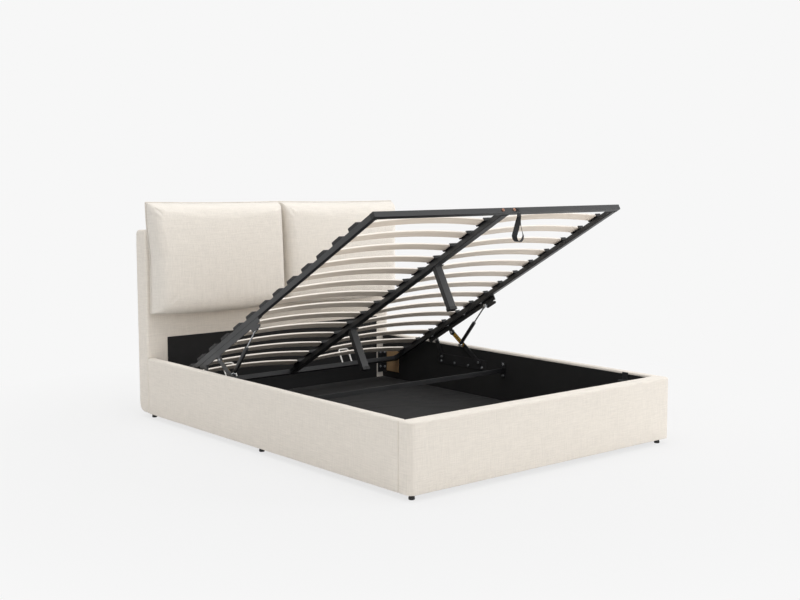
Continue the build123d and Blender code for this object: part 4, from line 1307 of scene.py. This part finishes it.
class BED_OT_lift_mechanism(bpy.types.Operator):
    """Finish the arms, links, plates, pins and bolts of the lift mechanism"""
    bl_idname = "bed.lift_mechanism"
    bl_label = "Lift mechanism"

    def execute(self, context):
        dress("lift_arm_left lift_arm_right", "lift_arms", "black_steel", 0.0009)
        dress("arm_doublers", "lift_arms", "yellow_zinc", 0.0003)
        dress("rear_links", "rear_links", "black_steel", 0.0009)
        dress("hinge_plates", "root", "black_steel", 0.0007)
        dress("hinge_pins", "root", "zinc", 0.0008)
        dress("lift_bars", "platform", "black_steel", 0.0006)
        dress("platform_pins", "platform", "zinc", 0.0008)
        dress("strut_studs", "platform", "zinc", 0.0006)
        self.bolts()
        return {"FINISHED"}

    def bolts(self):
        """Bolts stand where the frame has them, facing away from what they hold."""
        _, along, up = platform_axes()
        for node, body, slot_name, facing in (
            ("rail_bolts", "root", "zinc", None),
            ("lift_bar_bolts", "platform", "zinc", -up),
            ("joint_bolts", "platform", "coppery_bolt", -along),
        ):
            places = []
            for points in solids(node):
                middle, size = middle_of(points)
                way, radius = facing, size.x / 2
                if not facing:
                    thin, radius = min(range(2), key=lambda k: size[k]), max(size) / 2
                    way = Vector((0, 0, 0))
                    way[thin] = -1 if middle[thin] > 0 else 1
                low, high = reach_of(points, way)
                places.append((middle + way * (low - middle.dot(way)), way))
            pattern = socket_head(radius, high - low)
            on_points(f"made_{node}", places, pattern, slot_name, body, node)


class BED_OT_gas_struts(bpy.types.Operator):
    """Turn the gas struts: painted cylinders, ground rods and their plated ends"""
    bl_idname = "bed.gas_struts"
    bl_label = "Gas struts"

    def execute(self, context):
        for side, sign in SIDES:
            cylinder, rod = f"strut_cylinder_{side}", f"strut_rod_{side}"
            base, tip = self.end_of(cylinder, sign), centre_of("strut_studs")
            stud = abs(base.x)
            base.x = tip.x = centre_of(rod).x
            stud -= abs(base.x)
            way, reach = (tip - base).normalized(), (tip - base).length
            along = Matrix.Translation(base) @ way.to_track_quat("Z", "Y").to_matrix().to_4x4()
            across = Matrix.Rotation(math.radians(90 * sign), 4, "Y")
            mouth = reach_of(node_points(cylinder), way, base)[1]
            piston = reach_of(node_points(rod), way, base)[0]
            start, groove, wall = 0.014, mouth - 0.016, 0.01
            self.turned(cylinder, "strut_cylinders", "black_steel", [cylinder], (along, (
                (0, start), (0.78 * wall, start), (0.92 * wall, start + 0.0008), (wall, start + 0.0028),
                (wall, groove), (0.93 * wall, groove + 0.0014), (0.93 * wall, groove + 0.0024),
                (wall, groove + 0.004), (wall, mouth - 0.0035), (0.94 * wall, mouth - 0.0012),
                (0.75 * wall, mouth), (0.48 * wall, mouth), (0.46 * wall, mouth - 0.0015),
                (0, mouth - 0.0015),
            )))
            self.turned(rod, "strut_rods", "chrome_rod", [rod], (along, (
                (0, piston), (0.0078, piston), (0.0078, piston + 0.01), (0.004, piston + 0.0102),
                (0.004, reach - 0.012), (0, reach - 0.012),
            )))
            rim = ((0.0078, -0.005), (0.009, -0.0038), (0.009, 0.0038), (0.0078, 0.005))
            place = Matrix.Translation(base) @ across
            self.turned(
                f"{cylinder}_end", "strut_cylinders", "zinc", [],
                (place, ((0, -0.005), *rim, (0, 0.005))),
                (place, ((0, 0.0045), (0.005, 0.0045), (0.005, stud), (0, stud))),
                (along, (
                    (0, 0.004), (0.0055, 0.004), (0.0055, 0.0115), (0.004, 0.012), (0.004, 0.016),
                    (0, 0.016),
                )),
            )
            eye = ((0.0053, -0.005), *rim, (0.0053, 0.005), (0.0053, -0.005))
            self.turned(
                f"{rod}_end", "strut_rods", "zinc", [], (Matrix.Translation(tip) @ across, eye),
                (along, (
                    (0, reach - 0.028), (0.0046, reach - 0.028), (0.0052, reach - 0.027),
                    (0.0052, reach - 0.019), (0.0068, reach - 0.0175), (0.0068, reach - 0.0078),
                    (0, reach - 0.0078),
                )),
            )
        return {"FINISHED"}

    def end_of(self, node, sign):
        """The middle of a node's outermost face on one side."""
        points = node_points(node)
        far = max(sign * p.x for p in points)
        return middle_of([p for p in points if sign * p.x > far - 1e-5])[0]

    def turned(self, name, body, slot_name, nodes, *profiles):
        """One piece of turned parts, each a (matrix, profile of radius and height)."""
        bm = bmesh.new()
        for matrix, rings in profiles:
            lathe(bm, rings, matrix, 28)
        bmesh.ops.remove_doubles(bm, verts=bm.verts, dist=1e-6)
        piece(bm, f"turned_{name}", body, slot_name, *nodes, sharp=35, outward=True)


class BED_OT_pull_strap(bpy.types.Operator):
    """Hang the webbing pull strap from the foot tube"""
    bl_idname = "bed.pull_strap"
    bl_label = "Pull strap"

    def execute(self, context):
        low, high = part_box("pull_strap")
        middle, half = (low + high) / 2, (high.x - low.x) / 2
        width, thickness = (high.y - low.y) * 0.96, 0.0021
        neck, bulge = high.z - 0.018, low.z + half
        points, sides = [], []
        count, straight = 56, 0.36
        for k in range(count + 1):
            t = k / count
            share = min(t, 1 - t) / straight
            if share < 1:
                x = math.copysign(half * share ** 1.25, t - 0.5)
                z = neck + (bulge - neck) * share
            else:
                angle = math.pi * (t - straight) / (1 - 2 * straight)
                x, z = -half * math.cos(angle), bulge - (bulge - low.z) * math.sin(angle)
            points.append(Vector((middle.x + 0.93 * x, middle.y, z + 0.0012)))
            twist = math.radians(46) * math.sin(2 * math.pi * min(max(t, 0.02), 0.98))
            sides.append(Vector((-math.sin(twist), math.cos(twist), 0)))
        bm = ribbon(points, sides, width, thickness)
        piece(bm, "webbing_loop", "pull_strap", "webbing", "pull_strap", outward=True)
        # The neck stops short of the tube, so that it clears it when the strap swings
        heights = (neck - 0.004, neck + 0.003, neck + 0.009, high.z - 0.0024)
        stem = [Vector((middle.x, middle.y, z)) for z in heights]
        bm = ribbon(stem, [Vector((1, 0, 0))] * 4, width, 1.7 * thickness)
        piece(bm, "webbing_neck", "pull_strap", "webbing", outward=True)
        self.tab()
        return {"FINISHED"}

    def tab(self):
        """The tab under the tube's screw, and the screw."""
        corner, along, up = platform_axes()
        across, points = Vector((1, 0, 0)), node_points("strap_tab")
        near, far = reach_of(points, along, corner)
        left, right = reach_of(points, across)
        centre = corner + along * ((near + far) / 2) + across * ((left + right) / 2)
        line = [centre + up * h for h in np.linspace(*reach_of(points, up, corner), 5)]
        bm = ribbon(line, [across] * 5, right - left, far - near)
        piece(bm, "webbing_tab", "platform", "webbing", "strap_tab", outward=True)
        dress("strap_screw", "platform", "black_plastic", 0)


class BED_OT_materials(bpy.types.Operator):
    """Make the materials of the bed"""
    bl_idname = "bed.materials"
    bl_label = "Materials"

    def execute(self, context):
        make_materials(context)
        return {"FINISHED"}


# Stage

class BED_OT_stage(bpy.types.Operator):
    """Set up the floor, lights and camera"""
    bl_idname = "bed.stage"
    bl_label = "Stage"

    def execute(self, context):
        stage = context.scene.bed_stage
        scene = context.scene
        self.camera(scene, stage)
        self.floor(stage)
        self.world(scene, stage)
        self.lamp("key_softbox", (3.2, -3.7, 2.1), (0.2, -0.3, 0.5), (2.6, 2.2), stage.key)
        self.lamp("front_softbox", (-2.6, -4.6, 0.9), (0.0, -0.2, 0.7), (3.0, 1.4), stage.front)
        self.lamp("side_softbox", (3.5, 1.1, 0.8), (0.0, -0.2, 0.75), (2.4, 1.3), stage.side)
        self.lamp("overhead_softbox", (-0.3, -0.4, 4.6), (0, 0.1, 0), (4.5, 4.5), stage.top)
        scene.view_settings.view_transform = "Standard"
        return {"FINISHED"}

    def camera(self, scene, stage):
        """The camera at the photograph's angle."""
        data = bpy.data.cameras.new("camera")
        data.sensor_width, data.lens, data.shift_x = 36, stage.lens, stage.shift
        made = link("camera", data)
        made.location = stage.place
        made.rotation_euler = (math.pi / 2 - stage.pitch, 0, -stage.turn)
        scene.camera = made

    def seen(self, tree):
        """1 for rays that see the background itself: camera, glossy and transmission rays."""
        path = add(tree, "ShaderNodeLightPath").outputs
        first = add(tree, "ShaderNodeMath", {0: path["Is Camera Ray"], 1: path["Is Glossy Ray"]})
        both = add(tree, "ShaderNodeMath", {0: first.outputs[0], 1: path["Is Transmission Ray"]})
        both.use_clamp = True
        return both.outputs[0]

    def floor(self, stage):
        """A pale floor that keeps the bed's shadow near it and joins the background further out."""
        bm = bmesh.new()
        bmesh.ops.create_circle(bm, cap_ends=True, radius=60, segments=96)
        made = link("stage_floor", to_mesh(bm, "stage_floor"))
        material = bpy.data.materials.new("pale_floor")
        tree = empty_tree(material)
        tint, seen = stage.backdrop[:], self.seen(tree)
        paint = blend_colours(tree, seen, tint, tinted(tint, 0.78))
        matt = add(tree, "ShaderNodeBsdfDiffuse", {"Color": paint, "Roughness": 0.8}).outputs[0]
        glow = add(tree, "ShaderNodeEmission", {"Color": tint, "Strength": 1.0}).outputs[0]
        inputs = {0: object_place(tree)}
        reach = add(tree, "ShaderNodeVectorMath", inputs, operation="LENGTH").outputs["Value"]
        factor = maths(tree, "MULTIPLY", ramp(tree, reach, 1.4, 2.6, 0.78, 1.0), seen)
        mixed = add(tree, "ShaderNodeMixShader", {0: factor, 1: matt, 2: glow})
        add(tree, "ShaderNodeOutputMaterial", {"Surface": mixed.outputs[0]})
        made.data.materials.append(material)

    def world(self, scene, stage):
        """Even light from all round, and a plain pale background."""
        world = bpy.data.worlds.new("studio")
        tree = empty_tree(world)
        fill = add(tree, "ShaderNodeBackground", {"Color": (1, 1, 1, 1), "Strength": stage.fill})
        plain = add(tree, "ShaderNodeBackground", {"Color": stage.backdrop[:], "Strength": 1.0})
        inputs = {0: self.seen(tree), 1: fill.outputs[0], 2: plain.outputs[0]}
        mixed = add(tree, "ShaderNodeMixShader", inputs)
        add(tree, "ShaderNodeOutputWorld", {"Surface": mixed.outputs[0]})
        scene.world = world

    def lamp(self, name, place, target, size, power):
        """A rectangular softbox aimed at a point."""
        data = bpy.data.lights.new(name, "AREA")
        data.shape, data.size, data.size_y, data.energy = "RECTANGLE", size[0], size[1], power
        made = link(name, data)
        made.location = place
        made.rotation_euler = (Vector(target) - Vector(place)).to_track_quat("-Z", "Y").to_euler()


OPERATORS = (
    BED_OT_materials, BED_OT_rail_covers, BED_OT_headboard, BED_OT_cushions, BED_OT_linings,
    BED_OT_storage_floor, BED_OT_box_parts, BED_OT_platform_frame, BED_OT_slats,
    BED_OT_lift_mechanism, BED_OT_gas_struts, BED_OT_pull_strap, BED_OT_stage,
)
SETTINGS = {
    "bed_upholstery": UpholsterySettings, "bed_cushions": CushionSettings,
    "bed_platform": PlatformSettings, "bed_stage": StageSettings,
}


class BED_PT_panel(bpy.types.Panel):
    """Lists the steps that make the bed"""
    bl_idname = "BED_PT_panel"
    bl_label = "Ottoman storage bed"
    bl_space_type = "VIEW_3D"
    bl_region_type = "UI"
    bl_category = "Bed"

    def draw(self, context):
        for operator in OPERATORS:
            self.layout.operator(operator.bl_idname)
        for name, group in SETTINGS.items():
            box = self.layout.box()
            for key in group.__annotations__:
                box.prop(getattr(context.scene, name), key)


def register():
    for item in (*SETTINGS.values(), *OPERATORS, BED_PT_panel):
        bpy.utils.register_class(item)
    for name, group in SETTINGS.items():
        setattr(bpy.types.Scene, name, PointerProperty(type=group))


def unregister():
    for name in SETTINGS:
        delattr(bpy.types.Scene, name)
    for item in (BED_PT_panel, *reversed(OPERATORS), *SETTINGS.values()):
        bpy.utils.unregister_class(item)


def main():
    """Make the bed."""
    register()
    for operator in OPERATORS:
        group, name = operator.bl_idname.split(".")
        getattr(getattr(bpy.ops, group), name)()


if __name__ == "__main__":
    main()
